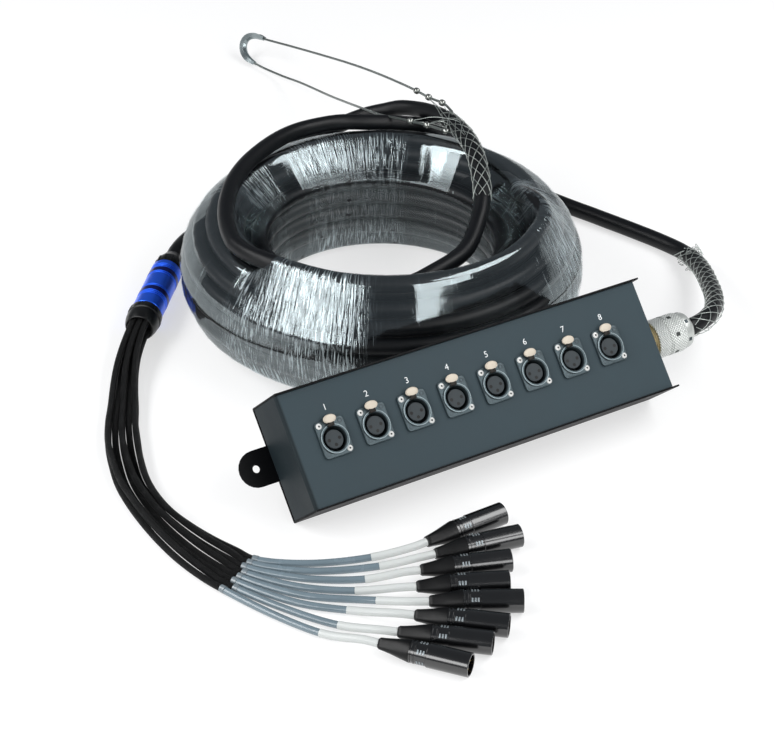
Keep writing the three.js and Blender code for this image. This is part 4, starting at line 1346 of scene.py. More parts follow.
@dataclass
class StretchFilm:
    """Clear film, taut over the coil's turns and over the lead that crosses them.

    The lead goes in under the film at the mouth, an angle in degrees. The film starts there
    mouth_dip cable diameters under the lead, and rises over it within mouth_ease.
    """

    cable: WoundCable
    mouth: float = 196.0
    mouth_ease: float = 5.0
    mouth_dip: float = 1.3
    run_up: int = 120
    gap: float = 0.45
    dots: int = 40
    ways: int = 132
    steps: int = 240
    lump: float = 0.9
    lump_scale: Pair = (16.0, 70.0)

    def crossing(self, angle: float) -> Vector | None:
        """Gives where the lead from the box lies under the film at an angle.

        Args:
            angle: The angle in degrees, from the film's mouth on.

        Returns:
            Its radius and height, or None where it isn't under the film.
        """
        cable = self.cable
        if not self.mouth <= angle <= cable.start + cable.lead_ride + cable.lead_in:
            return None
        turn = (angle - cable.start) / 360
        if turn >= 0:
            at = cable.section_spot(turn)
        else:
            run = cable.box_line.points[-self.run_up :]
            spot = min(run, key=lambda p: abs(cable.bearing(p) - angle))
            at = Vector((math.hypot(spot.x - cable.middle[0], spot.y - cable.middle[1]), spot.z))
        grown = eased((angle - self.mouth) / self.mouth_ease)
        return Vector((at.x, at.y - cable.diameter * self.mouth_dip * (1 - grown)))

    def hull(self, angle: float) -> list[Pair]:
        """Stretches a taut line round the turns at an angle.

        Args:
            angle: The angle in degrees.

        Returns:
            The line's corners in radius and height, anticlockwise.
        """
        cable = self.cable
        beyond = (angle - cable.start) % 360
        turn = beyond / 360
        centres = []
        while turn <= cable.turns - cable.lead_out / 360:
            if turn * 360 >= cable.lead_ride + cable.lead_in:
                centres.append(cable.section_spot(turn))
            turn += 1
        lead = self.crossing(cable.start + beyond) or self.crossing(cable.start + beyond - 360)
        centres += [lead] if lead else []
        rim = ring_points(cable.diameter / 2 + self.gap, self.dots)
        dots = sorted({
            (round(c.x + x, 3), round(max(0.08, c.y + y), 3)) for c in centres for x, y in rim
        })
        return self.lower_half(dots) + self.lower_half(dots[::-1])

    @staticmethod
    def lower_half(dots: Sequence[Pair]) -> list[Pair]:
        """Keeps the dots that a taut line touches from the first to the last, without the last."""
        half: list[Pair] = []
        for x, y in dots:
            while len(half) > 1:
                (ax, ay), (bx, by) = half[-2:]
                if (bx - ax) * (y - ay) > (by - ay) * (x - ax):
                    break
                half.pop()
            half.append((x, y))
        return half[:-1]

    def reached(self, corners: list[Pair], ways: Sequence[Pair]) -> list[Pair]:
        """Meets the taut line in even directions from the section's middle.

        Args:
            corners: The line's corners.
            ways: The directions, anticlockwise.

        Returns:
            One point in each direction.
        """
        middle = ((self.cable.inner + self.cable.outer) / 2, self.cable.height / 2)
        sides = []
        for (ax, ay), (bx, by) in zip(corners, corners[1:] + corners[:1]):
            length = math.hypot(bx - ax, by - ay)
            if length > 1e-6:
                nx, ny = (by - ay) / length, (ax - bx) / length
                sides.append((nx, ny, nx * (ax - middle[0]) + ny * (ay - middle[1])))
        points = []
        for wx, wy in ways:
            leans = ((far, nx * wx + ny * wy) for nx, ny, far in sides)
            reach = min(far / lean for far, lean in leans if lean > 1e-6)
            points.append((middle[0] + wx * reach, middle[1] + wy * reach))
        return points

    def build(self) -> Piece:
        """Makes the film.

        Returns:
            The film's piece.
        """
        ways = ring_points(1.0, self.ways)
        shape = Shape()
        bm = shape.bm
        order = bm.verts.layers.int.new("order")
        ring = []
        for k, (x, z) in enumerate(ways):
            height = self.cable.height / 2 + 50 * z
            vert = bm.verts.new((self.cable.core_radius + 40 * x, 0.0, height))
            vert[order] = k
            ring.append(vert)
        edges = [bm.edges.new(pair) for pair in zip(ring, ring[1:] + ring[:1])]
        shape.spun(ring + edges, self.steps)
        taut = [self.reached(self.hull(360 * k / self.steps), ways) for k in range(self.steps)]
        close, tall = self.lump_scale
        for vert in bm.verts:
            step = round(math.atan2(vert.co.y, vert.co.x) / FULL_TURN * self.steps) % self.steps
            near = [taut[(step + k) % self.steps][vert[order]] for k in (-2, -1, 0, 0, 1, 2)]
            radius, height = (sum(spot[axis] for spot in near) / len(near) for axis in (0, 1))
            turn = FULL_TURN * step / self.steps
            at = Vector((math.cos(turn) * close, math.sin(turn) * close, height / tall))
            radius += max(0.0, noise.noise(at)) * self.lump
            vert.co = Vector((radius * math.cos(turn), radius * math.sin(turn), height))
        bmesh.ops.recalc_face_normals(bm, faces=bm.faces[:])
        middle = self.cable.middle
        place = Matrix.Translation((middle[0] * MM, middle[1] * MM, 0))
        return shape.piece("stretch_film", FILM, Slot.JACKET, place, 70.0)


@dataclass
class MeshGrip:
    """A grip of crossing wires round a stretch of cable."""

    name: str
    radius: float
    wires: int
    lay: float
    loose: int = 0
    gauge: float = 0.66
    spacing: float = 3.0

    def build(self, line: Line) -> Piece:
        """Weaves the grip.

        Args:
            line: The stretch of cable.

        Returns:
            The grip's piece.
        """
        turns = line.length / self.lay
        strands = []
        for k in range(self.wires):
            for hand in (1, -1):
                reach = self.radius + self.gauge * 0.35 * hand
                first = 360 * k / self.wires + 7 * hand
                strands.append(line.round_about(reach, hand * turns, first, self.spacing))
        strands += [self.curl(line, k) for k in range(self.loose)]
        return tube(self.name, strands, self.gauge, 6, WIRE, Slot.WIRE)

    def curl(self, line: Line, k: int) -> list[Vector]:
        """Curls one wire's loose end.

        Args:
            line: The stretch of cable.
            k: The curl's number, from 0.

        Returns:
            The curl's points.
        """
        here = line.at(line.length - 3.0 - 4.5 * (k % 4))
        way = (line.at(line.length) - line.at(line.length - 3.0)).normalized()
        turn = math.radians(138 * k)
        side = Vector((0, 0, 1)).cross(way).normalized()
        out = side * math.cos(turn) + way.cross(side) * math.sin(turn)
        size, over, steps = 2.6 + 0.9 * (k % 3), 1.25 + 0.25 * (k % 2), 24
        points = []
        for step in range(steps + 1):
            phase = FULL_TURN * over * step / steps
            rise = self.radius + 0.6 + size * (0.55 - 0.5 * math.cos(phase + k))
            spot = here + out * rise + (way * 0.9 + out.cross(way)) * (size * math.sin(phase))
            points.append(Vector((spot.x, spot.y, max(spot.z, self.gauge))))
        return points


# ---------------------------------------------------------------- the splitter


@dataclass
class Splitter:
    """The blue sleeve between its two black nuts, along z from the cable to the tails."""

    face: Spot = (-97.8, 390.0, 16.0)
    heading: float = -130.0
    cable_nut: float = 24.0
    sleeve: float = 76.0
    sleeve_radius: float = 14.5
    tail_nut: float = 24.0
    gap: float = 0.3
    edge: float = 1.2
    groove: float = 0.7
    grooves: tuple[float, ...] = (7.0, 9.6, 12.2, 20.0, 22.6, 44.0, 46.6, 54.0, 56.6, 59.2)
    bands: tuple[Pair, ...] = ((13.6, 20.0), (47.8, 54.0))
    cable_grips: int = 12
    tail_grips: int = 10

    def place(self) -> Matrix:
        """Gives the splitter's frame in metres."""
        return Matrix.Translation(Vector(self.face) * MM) @ pointing(level_way(self.heading))

    def build(self) -> list[Piece]:
        """Makes the splitter's pieces.

        Returns:
            The pieces.
        """
        place = self.place()
        start, radius = self.cable_nut + self.gap, self.sleeve_radius
        end, floor = start + self.sleeve, radius - self.groove
        profile = [(0, start), (radius - self.edge, start), (radius, start + self.edge)]
        for at in self.grooves:
            z = start + at
            profile += [(radius, z), (floor, z + 0.3), (floor, z + 1.2), (radius, z + 1.5)]
        profile += [(radius, end - self.edge), (radius - self.edge, end), (0, end)]
        sleeve = Shape.turned(profile, 72).piece("splitter_sleeve", BLUE, Slot.BLUE, place)
        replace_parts(sleeve, "splitter_body")
        bands = Shape()
        for low, high in self.bands:
            bottom, top = start + low, start + high
            band = [(radius - 0.4, bottom), (radius + 0.15, bottom)]
            bands.with_(Shape.turned(band + [(r, top) for r, _ in band[::-1]], 72, closed=True))
        bands = bands.piece("splitter_bands", BLUE_DARK, Slot.BLUE, place)
        upper = Shape.turned([
            (0, 0), (8.6, 0), (9.4, 0.5), (9.9, 3), (12.0, 9), (13.2, 12), (13.4, 22),
            (12.6, 24), (0, 24),
        ], 48)
        upper.with_(self.grips((1.2, 2.4, 9.5), (13.3, 0, 17.2), 0.4, self.cable_grips))
        upper = upper.piece("splitter_cable_nut", PLASTIC, Slot.PLASTIC, place)
        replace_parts(upper, "splitter_nut_cable")
        low = end + self.gap
        lower = Shape.turned([(radius, low + rise) for radius, rise in (
            (0, 0), (13.8, 0), (15.6, 1.4), (15.6, 8.6), (14.5, 9.2), (14.5, 10.4), (15.4, 11.2),
            (15.2, 15), (14.2, 20.5), (13.0, 23.6), (12.2, 24), (12.0, 23.2), (12.0, 19), (0, 19),
        )], 48)
        lower.with_(self.grips((1.2, 5.0, 7.0), (15.3, 0, low + 5.0), 0.5, self.tail_grips))
        lower = lower.piece("splitter_tail_nut", PLASTIC, Slot.PLASTIC, place)
        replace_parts(lower, "splitter_nut_tails")
        return [sleeve, bands, upper, lower]

    @staticmethod
    def grips(size: Spot, middle: Spot, bevel: float, count: int) -> Shape:
        """Makes the grip ribs round a nut from the size, middle and bevel of one."""
        return Shape.block(size, middle).bevelled(bevel).around(count)

    def mouth(self, beyond: float) -> Vector:
        """Gives a point on the axis, counted from the floor of the tail nut's mouth."""
        reach = self.cable_nut + self.sleeve + self.tail_nut + 2 * self.gap - 5 + beyond
        return Vector(self.face) + level_way(self.heading) * reach


# ---------------------------------------------------------------- tails and plugs


class Row(Enum):
    """The row of the bundle that a tail lies in."""

    LOW = "low"
    MIDDLE = "middle"
    TOP = "top"


@dataclass(frozen=True)
class TailWay:
    """Where one tail lies: in the bundle, over the floor, and where its sleeves and plug start."""

    row: Row
    across: tuple[float, float, float, float]
    spots: tuple[Pair, Pair]
    rear: Pair
    heading: float
    grey: Pair
    white: Pair


TAIL_WAYS = (
    TailWay(
        Row.LOW, (1, 2, 2, 3.5), ((-203, -69), (-156, -88.5)),
        rear=(-111.7, -99.7), heading=1, grey=(-239.1, -44.2), white=(-154.7, -88.2),
    ),
    TailWay(
        Row.TOP, (1, 2, 1.5, 2.5), ((-206, -78.5), (-156, -101.5)),
        rear=(-114, -116.3), heading=-11, grey=(-245, -45.2), white=(-154.6, -100.7),
    ),
    TailWay(
        Row.MIDDLE, (0.5, 1, 1, 1.5), ((-214, -84.5), (-173.7, -110)),
        rear=(-134.4, -127.9), heading=-20.4, grey=(-250.1, -46.6), white=(-173.7, -109.2),
    ),
    TailWay(
        Row.TOP, (0, 0, 0.5, 0.5), ((-222.5, -91.5), (-187.5, -118.5)),
        rear=(-147.5, -143.8), heading=-25.9, grey=(-254.3, -52.9), white=(-187.5, -116.9),
    ),
    TailWay(
        Row.LOW, (0, 0, 0, -0.5), ((-226, -101), (-183, -134.5)),
        rear=(-148.2, -164.2), heading=-29.8, grey=(-257.4, -55.5), white=(-180.4, -135.8),
    ),
    TailWay(
        Row.MIDDLE, (-0.5, -1, -1, -1.5), ((-233.5, -107.5), (-200.4, -139)),
        rear=(-166.2, -172.8), heading=-40.2, grey=(-261, -59.1), white=(-200.4, -133.3),
    ),
    TailWay(
        Row.TOP, (-1, -2, -1.5, -2.5), ((-244, -110.5), (-219, -148)),
        rear=(-187.3, -183.3), heading=-40.6, grey=(-265.8, -63.5), white=(-219.9, -146),
    ),
    TailWay(
        Row.LOW, (-1, -2, -2, -3.5), ((-255, -112.5), (-232.5, -153)),
        rear=(-206.3, -187.4), heading=-50.5, grey=(-280.8, -61.9), white=(-232, -144.4),
    ),
)


@dataclass
class Tails:
    """The tails' bundle and fan, as in the part's solids."""

    diameter: float = 5.6
    pitch: float = 6.2
    floor: float = 3.3
    rise: float = 0.7
    axis: float = 9.5
    gap: float = 0.3
    sleeves: Spot = (6.0, 6.5, 6.7)
    clear: Pair = (1.0, 3.5)
    steps: int = 8
    middle_line: tuple[tuple[float, float, float, float], ...] = (
        (-199, 268, 8.2, 0.1), (-213, 247.5, 5, 0.3), (-225.5, 225, 3.3, 0.5),
        (-238, 200, 2.95, 0.7), (-250.5, 176, 2.95, 0.85), (-261.5, 150, 2.95, 1),
        (-270, 124, 2.95, 1.3), (-276.5, 98, 2.95, 1.6), (-279.3, 72, 2.95, 1.9),
        (-279.3, 46, 2.95, 2.1), (-276.3, 19.3, 2.95, 2.35), (-270.8, -8, 2.95, 2.65),
        (-263.5, -32, 2.95, 2.9), (-257, -50, 2.95, 3),
    )

    def height(self, row: Row, stage: float) -> float:
        """Gives a row's height above the lowest, in pitches, at a stage of the spreading."""
        middle = math.sqrt(max(0.0, 1 - (1 + min(1.0, stage)) ** 2 / 4))
        if row is Row.LOW:
            return 0.0
        if row is Row.MIDDLE:
            return middle
        if stage <= 1:
            return max(1.0, 2 * middle)
        return math.sqrt(max(0.0, 1 - ((stage - 1) / 2) ** 2))

    def line(self, way: TailWay, splitter: Splitter) -> Line:
        """Gives one tail's centreline.

        Args:
            way: The tail's way.
            splitter: The splitter that it leaves.

        Returns:
            The line.
        """
        low = splitter.face[2] - self.pitch * self.height(Row.MIDDLE, 0)
        leaving = [splitter.mouth(0.3), splitter.mouth(5 + self.diameter)]
        stations = [*((spot.x, spot.y, low, 0.0) for spot in leaving), *self.middle_line]
        points = []
        for k, (x, y, base, stage) in enumerate(stations):
            before, after = stations[max(0, k - 1)], stations[min(len(stations) - 1, k + 1)]
            ahead = Vector((after[0] - before[0], after[1] - before[1], 0)).normalized()
            if k < len(leaving):
                ahead = level_way(splitter.heading)
            whole = min(2, int(stage))
            across = way.across[whole]
            across += (way.across[whole + 1] - way.across[whole]) * (stage - whole)
            shift = self.pitch * across
            lift = base + self.pitch * self.height(way.row, stage)
            points.append(Vector((x - ahead.y * shift, y + ahead.x * shift, lift)))
        for order, (x, y) in enumerate(way.spots):
            points.append(Vector((x, y, self.floor + self.rise * order)))
        ahead = level_way(way.heading)
        stop = Vector((*way.rear, self.axis)) - ahead * self.gap
        points += [stop - ahead * 2 * self.diameter, stop]
        return Line(on_floor(smooth_line(points, self.steps), self.diameter))

    def build(
        self, number: int, splitter: Splitter, plug_pieces: list[Piece],
    ) -> Piece:
        """Makes one tail with its sleeves.

        Args:
            number: The tail's number from 1.
            splitter: The splitter that it leaves.
            plug_pieces: The pieces of its plug; not used.

        Returns:
            The tail's piece.
        """
        way = TAIL_WAYS[number - 1]
        line = self.line(way, splitter)
        tail = tube(f"tail_{number}_braid", [line.points], self.diameter, 12, BRAID, Slot.BRAID)
        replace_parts(tail, f"tail_{number}")
        grey = line.nearest((*way.grey, self.floor))
        white = line.nearest((*way.white, self.floor + self.rise))
        stretches = (
            ("grey", grey, white + 1, GREY_TUBE),
            ("clear", grey - self.clear[0], grey + self.clear[1], CLEAR_TUBE),
            ("white", white, line.length + 1.0, WHITE_TUBE),
        )
        for (name, start, end, finish), size in zip(stretches, self.sleeves):
            points = on_floor(line.part(start, end, 2.0).points, size)
            name = f"tail_{number}_{name}_sleeve"
            tube(name, [points], size, 14, finish, Slot.BRAID)
        log.info("tail %d: %.0f mm", number, line.length)
        return tail


def contact_spots(circle: float) -> list[Pair]:
    """Gives the places of a connector's three contacts on their circle."""
    angles = [math.pi / 2 * quarter for quarter in (0, 2, 3)]
    return [(circle * math.cos(a), circle * math.sin(a)) for a in angles]


@dataclass
class Plug:
    """A cable plug with its boot, along z from the boot's rear to the open nose."""

    number: int
    length: float = 73.0
    radius: float = 9.5
    boot: float = 26.0
    squeeze: float = 0.17
    mouth_radius: float = 7.9
    mouth_depth: float = 15.0
    contact_circle: float = 4.7
    pin_radius: float = 1.2
    boot_profile: tuple[Pair, ...] = (
        (4.1, 0), (4.7, 0.4), (5.5, 1.6), (5.9, 5), (7.0, 12), (8.3, 19), (9.0, 24), (9.1, 26),
    )
    neck_profile: tuple[Pair, ...] = (
        (9.0, 26.2), (9.0, 27.2), (8.3, 27.4), (8.3, 28.6), (9.1, 28.8), (9.1, 30.2), (8.5, 30.4),
        (8.5, 31.4), (8.9, 31.6), (8.9, 39.6),
    )
    rib_rows: Spot = (33.2, 35.5, 37.8)
    ribs: int = 6

    def place(self) -> Matrix:
        """Gives the plug's frame in metres."""
        way = TAIL_WAYS[self.number - 1]
        turn = Matrix.Rotation(math.radians(way.heading), 4, "Z")
        lie = Matrix.Rotation(math.pi / 2, 4, "Y") @ Matrix.Rotation(math.pi / 2, 4, "Z")
        stand = (way.rear[0] * MM, way.rear[1] * MM, self.radius * MM)
        return Matrix.Translation(stand) @ turn @ lie

    def facet(self, co: Vector) -> Vector:
        """Flattens the boot's sides into the facets that run towards its rear."""
        share = min(1.0, max(0.0, (self.boot - co.z) / self.boot))
        angle = math.atan2(co.y, co.x)
        squeeze = 1 - self.squeeze * share ** 0.7 * abs(math.sin(2 * angle)) ** 1.6
        return Vector((co.x * squeeze, co.y * squeeze, co.z))

    def build(self) -> list[Piece]:
        """Makes the plug's pieces.

        Returns:
            The pieces.
        """
        name, place = f"plug_{self.number}", self.place()
        boot = Shape.turned([(0, 0), *self.boot_profile, (0, self.boot)], 48)
        bmesh.ops.subdivide_edges(boot.bm, edges=boot.bm.edges[:], cuts=1)
        for vert in boot.bm.verts:
            vert.co = self.facet(vert.co)
        boot = boot.piece(f"{name}_rear", PLUG_RUBBER, Slot.PLASTIC, place, 50)
        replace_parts(boot, f"{name}_boot")
        outer, end, mouth = self.radius, self.length, self.mouth_radius
        bottom = end - self.mouth_depth
        shell = Shape.turned([
            (0, self.neck_profile[0][1]), *self.neck_profile, (outer, 40.0), (outer, end - 0.5),
            (outer - 0.5, end), (mouth + 0.3, end), (mouth, end - 0.3), (mouth, bottom),
            (0, bottom),
        ], 64)
        shell = shell.piece(f"{name}_body", PLUG_METAL, Slot.BLACK_METAL, place, 35)
        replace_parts(shell, f"{name}_shell")
        # The ribs carry a painted highlight.
        ribs = Shape()
        for at in self.rib_rows:
            ribs.with_(Shape.block((0.5, 3.4, 1.3), (8.97, 0, at)).bevelled(0.2))
        ribs = ribs.around(self.ribs, 0.25).piece(f"{name}_ribs", RIB_PAINTED_HIGHLIGHT, Slot.BLACK_METAL, place)
        low, high = end - 15.1, end - 14.2
        insert = Shape.turned([(0, low), (mouth - 0.1, low), (mouth - 0.1, high), (0, high)], 48)
        insert = insert.piece(f"{name}_insert", INSERT, Slot.PLASTIC, place)
        pins = Shape()
        for x, y in contact_spots(self.contact_circle):
            pin = [(0, 0), (self.pin_radius, 0), (self.pin_radius, 11.2), (0.8, 12.3), (0, 12.6)]
            pins.with_(Shape.turned(pin, 20).at(x, y, end - 14.6))
        pins = pins.piece(f"{name}_pins", CONTACT, Slot.GOLD, place)
        return [boot, shell, ribs, insert, pins]


# ---------------------------------------------------------------- the pulling loop


@dataclass
class PullingLoop:
    """The wire rope loop with its thimble, ferrules and loose strands."""

    diameter: float = 2.4
    gauge: float = 0.66
    mesh_radius: float = 8.6
    points: tuple[Spot, ...] = (
        (170.8, 322, 133.8), (172, 338, 134.5), (170.5, 362, 131), (171.7, 393.9, 126),
        (178.3, 470.5, 108), (184.2, 536.9, 90), (190.1, 619.3, 66), (192, 691.4, 46),
        (191.4, 748.1, 31), (188.8, 768.3, 27.5), (184, 777.6, 22.5), (180.2, 779.6, 16),
        (177.3, 774.5, 9.8), (175.8, 762.2, 6), (177.8, 744.8, 4.8), (184.4, 702.6, 8),
        (183.3, 653.6, 20), (169.9, 561.7, 47), (150, 490, 75.5), (138.7, 448.9, 92),
        (132.5, 418, 103), (131.5, 390, 110.5), (134.5, 364, 117.5), (138.5, 342.7, 122.5),
        (145, 323.9, 125), (153.2, 312, 123.5), (157.2, 304.5, 123),
    )
    upper_ferrules: tuple[float, ...] = (20.0, 43.0, 67.0)
    lower_ferrules: tuple[float, ...] = (4.0, 24.0, 45.0)
    bead: tuple[Pair, ...] = (
        (1.0, -3.4), (2.1, -3.1), (2.9, -2.0), (3.2, -0.8), (3.2, 0.8), (2.9, 2.0), (2.1, 3.1),
        (1.0, 3.4),
    )
    bend: tuple[int, int, int] = (8, 11, 14)
    groove: tuple[Pair, ...] = ((-3.4, 3.0), (-2.3, -0.5), (0.0, -1.4), (2.3, -0.5), (3.4, 3.0))
    back: tuple[Pair, ...] = ((4.2, 3.0), (3.0, -1.8), (0.0, -3.2), (-3.0, -1.8), (-4.2, 3.0))
    thimble_steps: int = 22

    def ferrule_places(self, line: Line) -> list[float]:
        """Gives where the ferrules sit along the rope."""
        return [*self.upper_ferrules, *(line.length - f for f in self.lower_ferrules)]

    def strands(self, line: Line, basket: Line) -> Piece:
        """Leads the rope's loose strands from the ferrules into the mesh.

        Args:
            line: The rope's line.
            basket: The stretch of cable under the mesh.

        Returns:
            The strands' piece.
        """
        wires = []
        for k, start in enumerate(self.ferrule_places(line)):
            for twist in (-1, 1):
                first = 70.0 * k + 25 * twist
                foot = basket.round_about(self.mesh_radius, 0.25 * twist, first, 3.0)
                landing = len(foot) - 3 - 4 * (k % 3)
                leave = line.at(start)
                rest = foot[max(2, landing - 9) : landing + 1][::-1]
                lift = (leave + rest[0]) / 2 + Vector((0, 0, 2.5 + k % 3))
                wires.append(smooth_line([leave, lift, *rest[::3]], 4))
        return tube("rope_strands", wires, self.gauge, 6, WIRE, Slot.WIRE)

    def build(self, basket: Line) -> Piece:
        """Makes the loop, its thimble, its ferrules and its loose strands.

        Args:
            basket: The stretch of cable under the mesh.

        Returns:
            The rope's piece.
        """
        line = Line(smooth_line(self.points, 6))
        rope = tube("pulling_rope", [line.points], self.diameter, 12, ROPE, Slot.WIRE)
        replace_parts(rope, "pulling_loop")
        beads = Shape()
        for at in self.ferrule_places(line):
            sat = Matrix.Translation(line.at(at)) @ pointing(line.way(at))
            beads.with_(Shape.turned(self.bead, 20, closed=True).moved(sat))
        beads = beads.piece("rope_ferrules", FERRULE, Slot.WIRE, Matrix.Identity(4))
        thimble = self.thimble(line)
        self.strands(line, basket)
        log.info("pulling rope: %.0f mm", line.length)
        return rope

    def thimble(self, line: Line) -> Piece:
        """Makes the grooved steel thimble that the rope's far bend lies in.

        Args:
            line: The rope's line.

        Returns:
            The thimble's piece.
        """
        upper, tip, lower = (Vector(self.points[k]) for k in self.bend)
        start, end = line.nearest(upper) + 4, line.nearest(lower) - 4
        inside = (upper + lower) / 2
        face = (tip - inside).cross(upper - lower).normalized()
        shape = Shape()
        bm, last = shape.bm, None
        for k in range(self.thimble_steps + 1):
            at = start + (end - start) * k / self.thimble_steps
            here, way = line.at(at), line.way(at, 1.5)
            out = way.cross(face).normalized()
            out = out if out.dot(here - inside) > 0 else -out
            side = way.cross(out)
            ends = eased(min(k, self.thimble_steps - k) / 4)
            wide, deep = 0.6 + 0.4 * ends, 0.7 + 0.3 * ends
            ring = [
                bm.verts.new(here + side * (w * wide) + out * (h * deep))
                for w, h in (*self.groove, *self.back)
            ]
            edges = [bm.edges.new(pair) for pair in zip(ring, ring[1:] + ring[:1])]
            if last:
                bmesh.ops.bridge_loops(bm, edges=[*last, *edges])
            if k in (0, self.thimble_steps):
                bm.faces.new(ring)
            last = edges
        piece = shape.cleaned().piece("rope_thimble", STEEL, Slot.WIRE, Matrix.Identity(4))
        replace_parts(piece, "thimble")
        return piece


# ---------------------------------------------------------------- the stage box


@dataclass
class Receptacle:
    """A panel socket with its push tab, with z out of the panel and y up it."""

    number: int
    place: Matrix
    flange: Spot = (26.0, 31.0, 3.0)
    flange_rise: float = 1.2
    bore: float = 10.9
    contact_circle: float = 4.7
    screws: tuple[Pair, Pair] = ((-9.6, 12.0), (9.6, -12.0))
    cap: Pair = (0.4, 16.4)
    cap_reach: Pair = (5.8, 3.7)
    neck: tuple[Spot, Spot] = ((5.6, 3.6, 0.6), (0, 12.2, 5.45))
    stem: tuple[Spot, Spot] = ((5.6, 0.8, 12.6), (0, 10.7, -0.9))

    def keep(
        self, shape: Shape, part: str, finish: Finish, slot: Slot,
        smooth: float = 40.0, body: str = Body.BOX.value,
    ) -> Piece:
        """Makes a solid one of the socket's pieces, named after the socket and the part."""
        name = f"receptacle_{self.number}_{part}"
        return shape.piece(name, finish, slot, self.place, smooth, body)

    def build(self) -> None:
        """Makes the socket's pieces."""
        width, height, corner = self.flange
        corners = rounded_corners(width, height, corner, 64)
        outline = [(x, y + self.flange_rise) for x, y in corners]
        flange = Shape.frame(outline, ring_points(self.bore, 64), 0.0, 2.0).bevelled(0.45, 45, 3)
        flange.with_(Shape.turned([
            (10.3, -12.0), (11.8, -12.0), (11.8, 1.9), (12.25, 2.0), (12.25, 2.9), (11.9, 3.3),
            (10.7, 3.3), (10.3, 2.9),
        ], 72, closed=True))
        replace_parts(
            self.keep(flange, "flange", SHELL, Slot.SHELL, 35), f"receptacle_{self.number}_shell",
        )
        collar = [(11.6, 3.2), (12.3, 2.8), (12.3, 3.2), (12.1, 3.5), (11.6, 3.5)]
        self.keep(Shape.turned(collar, 72, closed=True), "collar", COLLAR, Slot.SHELL, 35)
        insert = Shape.turned([
            (0, -19.8), (11.6, -19.8), (11.6, -12.2), (7.8, -12.2), (7.8, 0.7), (7.5, 1.0),
            (0, 1.0),
        ], 56)
        self.keep(insert, "insert", INSERT, Slot.PLASTIC, 35)
        self.small_parts()
        self.tab()

    def small_parts(self) -> None:
        """Makes the holes' painted shade, the screws and the rims of the rivet holes."""
        holes, screws, rims = Shape(), Shape(), Shape()
        # The contact holes and the drive holes are dark discs of painted shade.
        for x, y in contact_spots(self.contact_circle):
            eye = [(0, 0.9), (1.45, 0.9), (1.45, 1.06), (0, 1.06)]
            holes.with_(Shape.turned(eye, 24).at(x, y, 0))
        for x, y in self.screws:
            head = [(0, 2), (2.5, 2), (2.5, 2.35), (1.9, 2.8), (0.9, 2.95), (0.9, 2.3), (0, 2.3)]
            screws.with_(Shape.turned(head, 28).at(x, y + self.flange_rise, 0))
            drive = [(0, 2.2), (0.85, 2.2), (0.85, 2.7), (0, 2.7)]
            holes.with_(Shape.turned(drive, 16).at(x, y + self.flange_rise, 0))
        for (x, y), rim in zip(self.screws, (
            [(1.1, 1.9), (2.1, 1.9), (2.1, 2.25), (1.8, 2.4), (1.1, 2.2)],
            [(1.1, 1.9), (1.9, 1.9), (1.9, 2.1), (1.1, 2.1)],
        )):
            rims.with_(Shape.turned(rim, 24, closed=True).at(-x, y + self.flange_rise, 0))
        self.keep(holes, "holes", HOLE_SHADE, Slot.PLASTIC)
        self.keep(screws, "screws", SCREW, Slot.NICKEL, 50)
        self.keep(rims, "rims", RIVET_AND_SLOT_SHADE, Slot.SHELL, 50)

    def tab(self) -> None:
        """Makes the push tab and the stem that it rides on."""
        body = f"push_tab_{self.number}"
        (x, y), (wide, tall) = self.cap, self.cap_reach
        cap = [(x + across * wide, y + up * tall) for across, up in ring_points(1.0, 48)]
        stem = Shape.block(*self.stem).bevelled(0.2)
        stem.with_(Shape.block(*self.neck).bevelled(0.15))
        self.keep(stem, "tab_stem", STEM, Slot.TAB, 50, body)
        tab = Shape.plate(cap, 4.0, 5.8).bevelled(0.8, 40, 4)
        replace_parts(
            self.keep(tab, "tab", TAB, Slot.TAB, 50, body), f"receptacle_{self.number}_push_tab",
        )


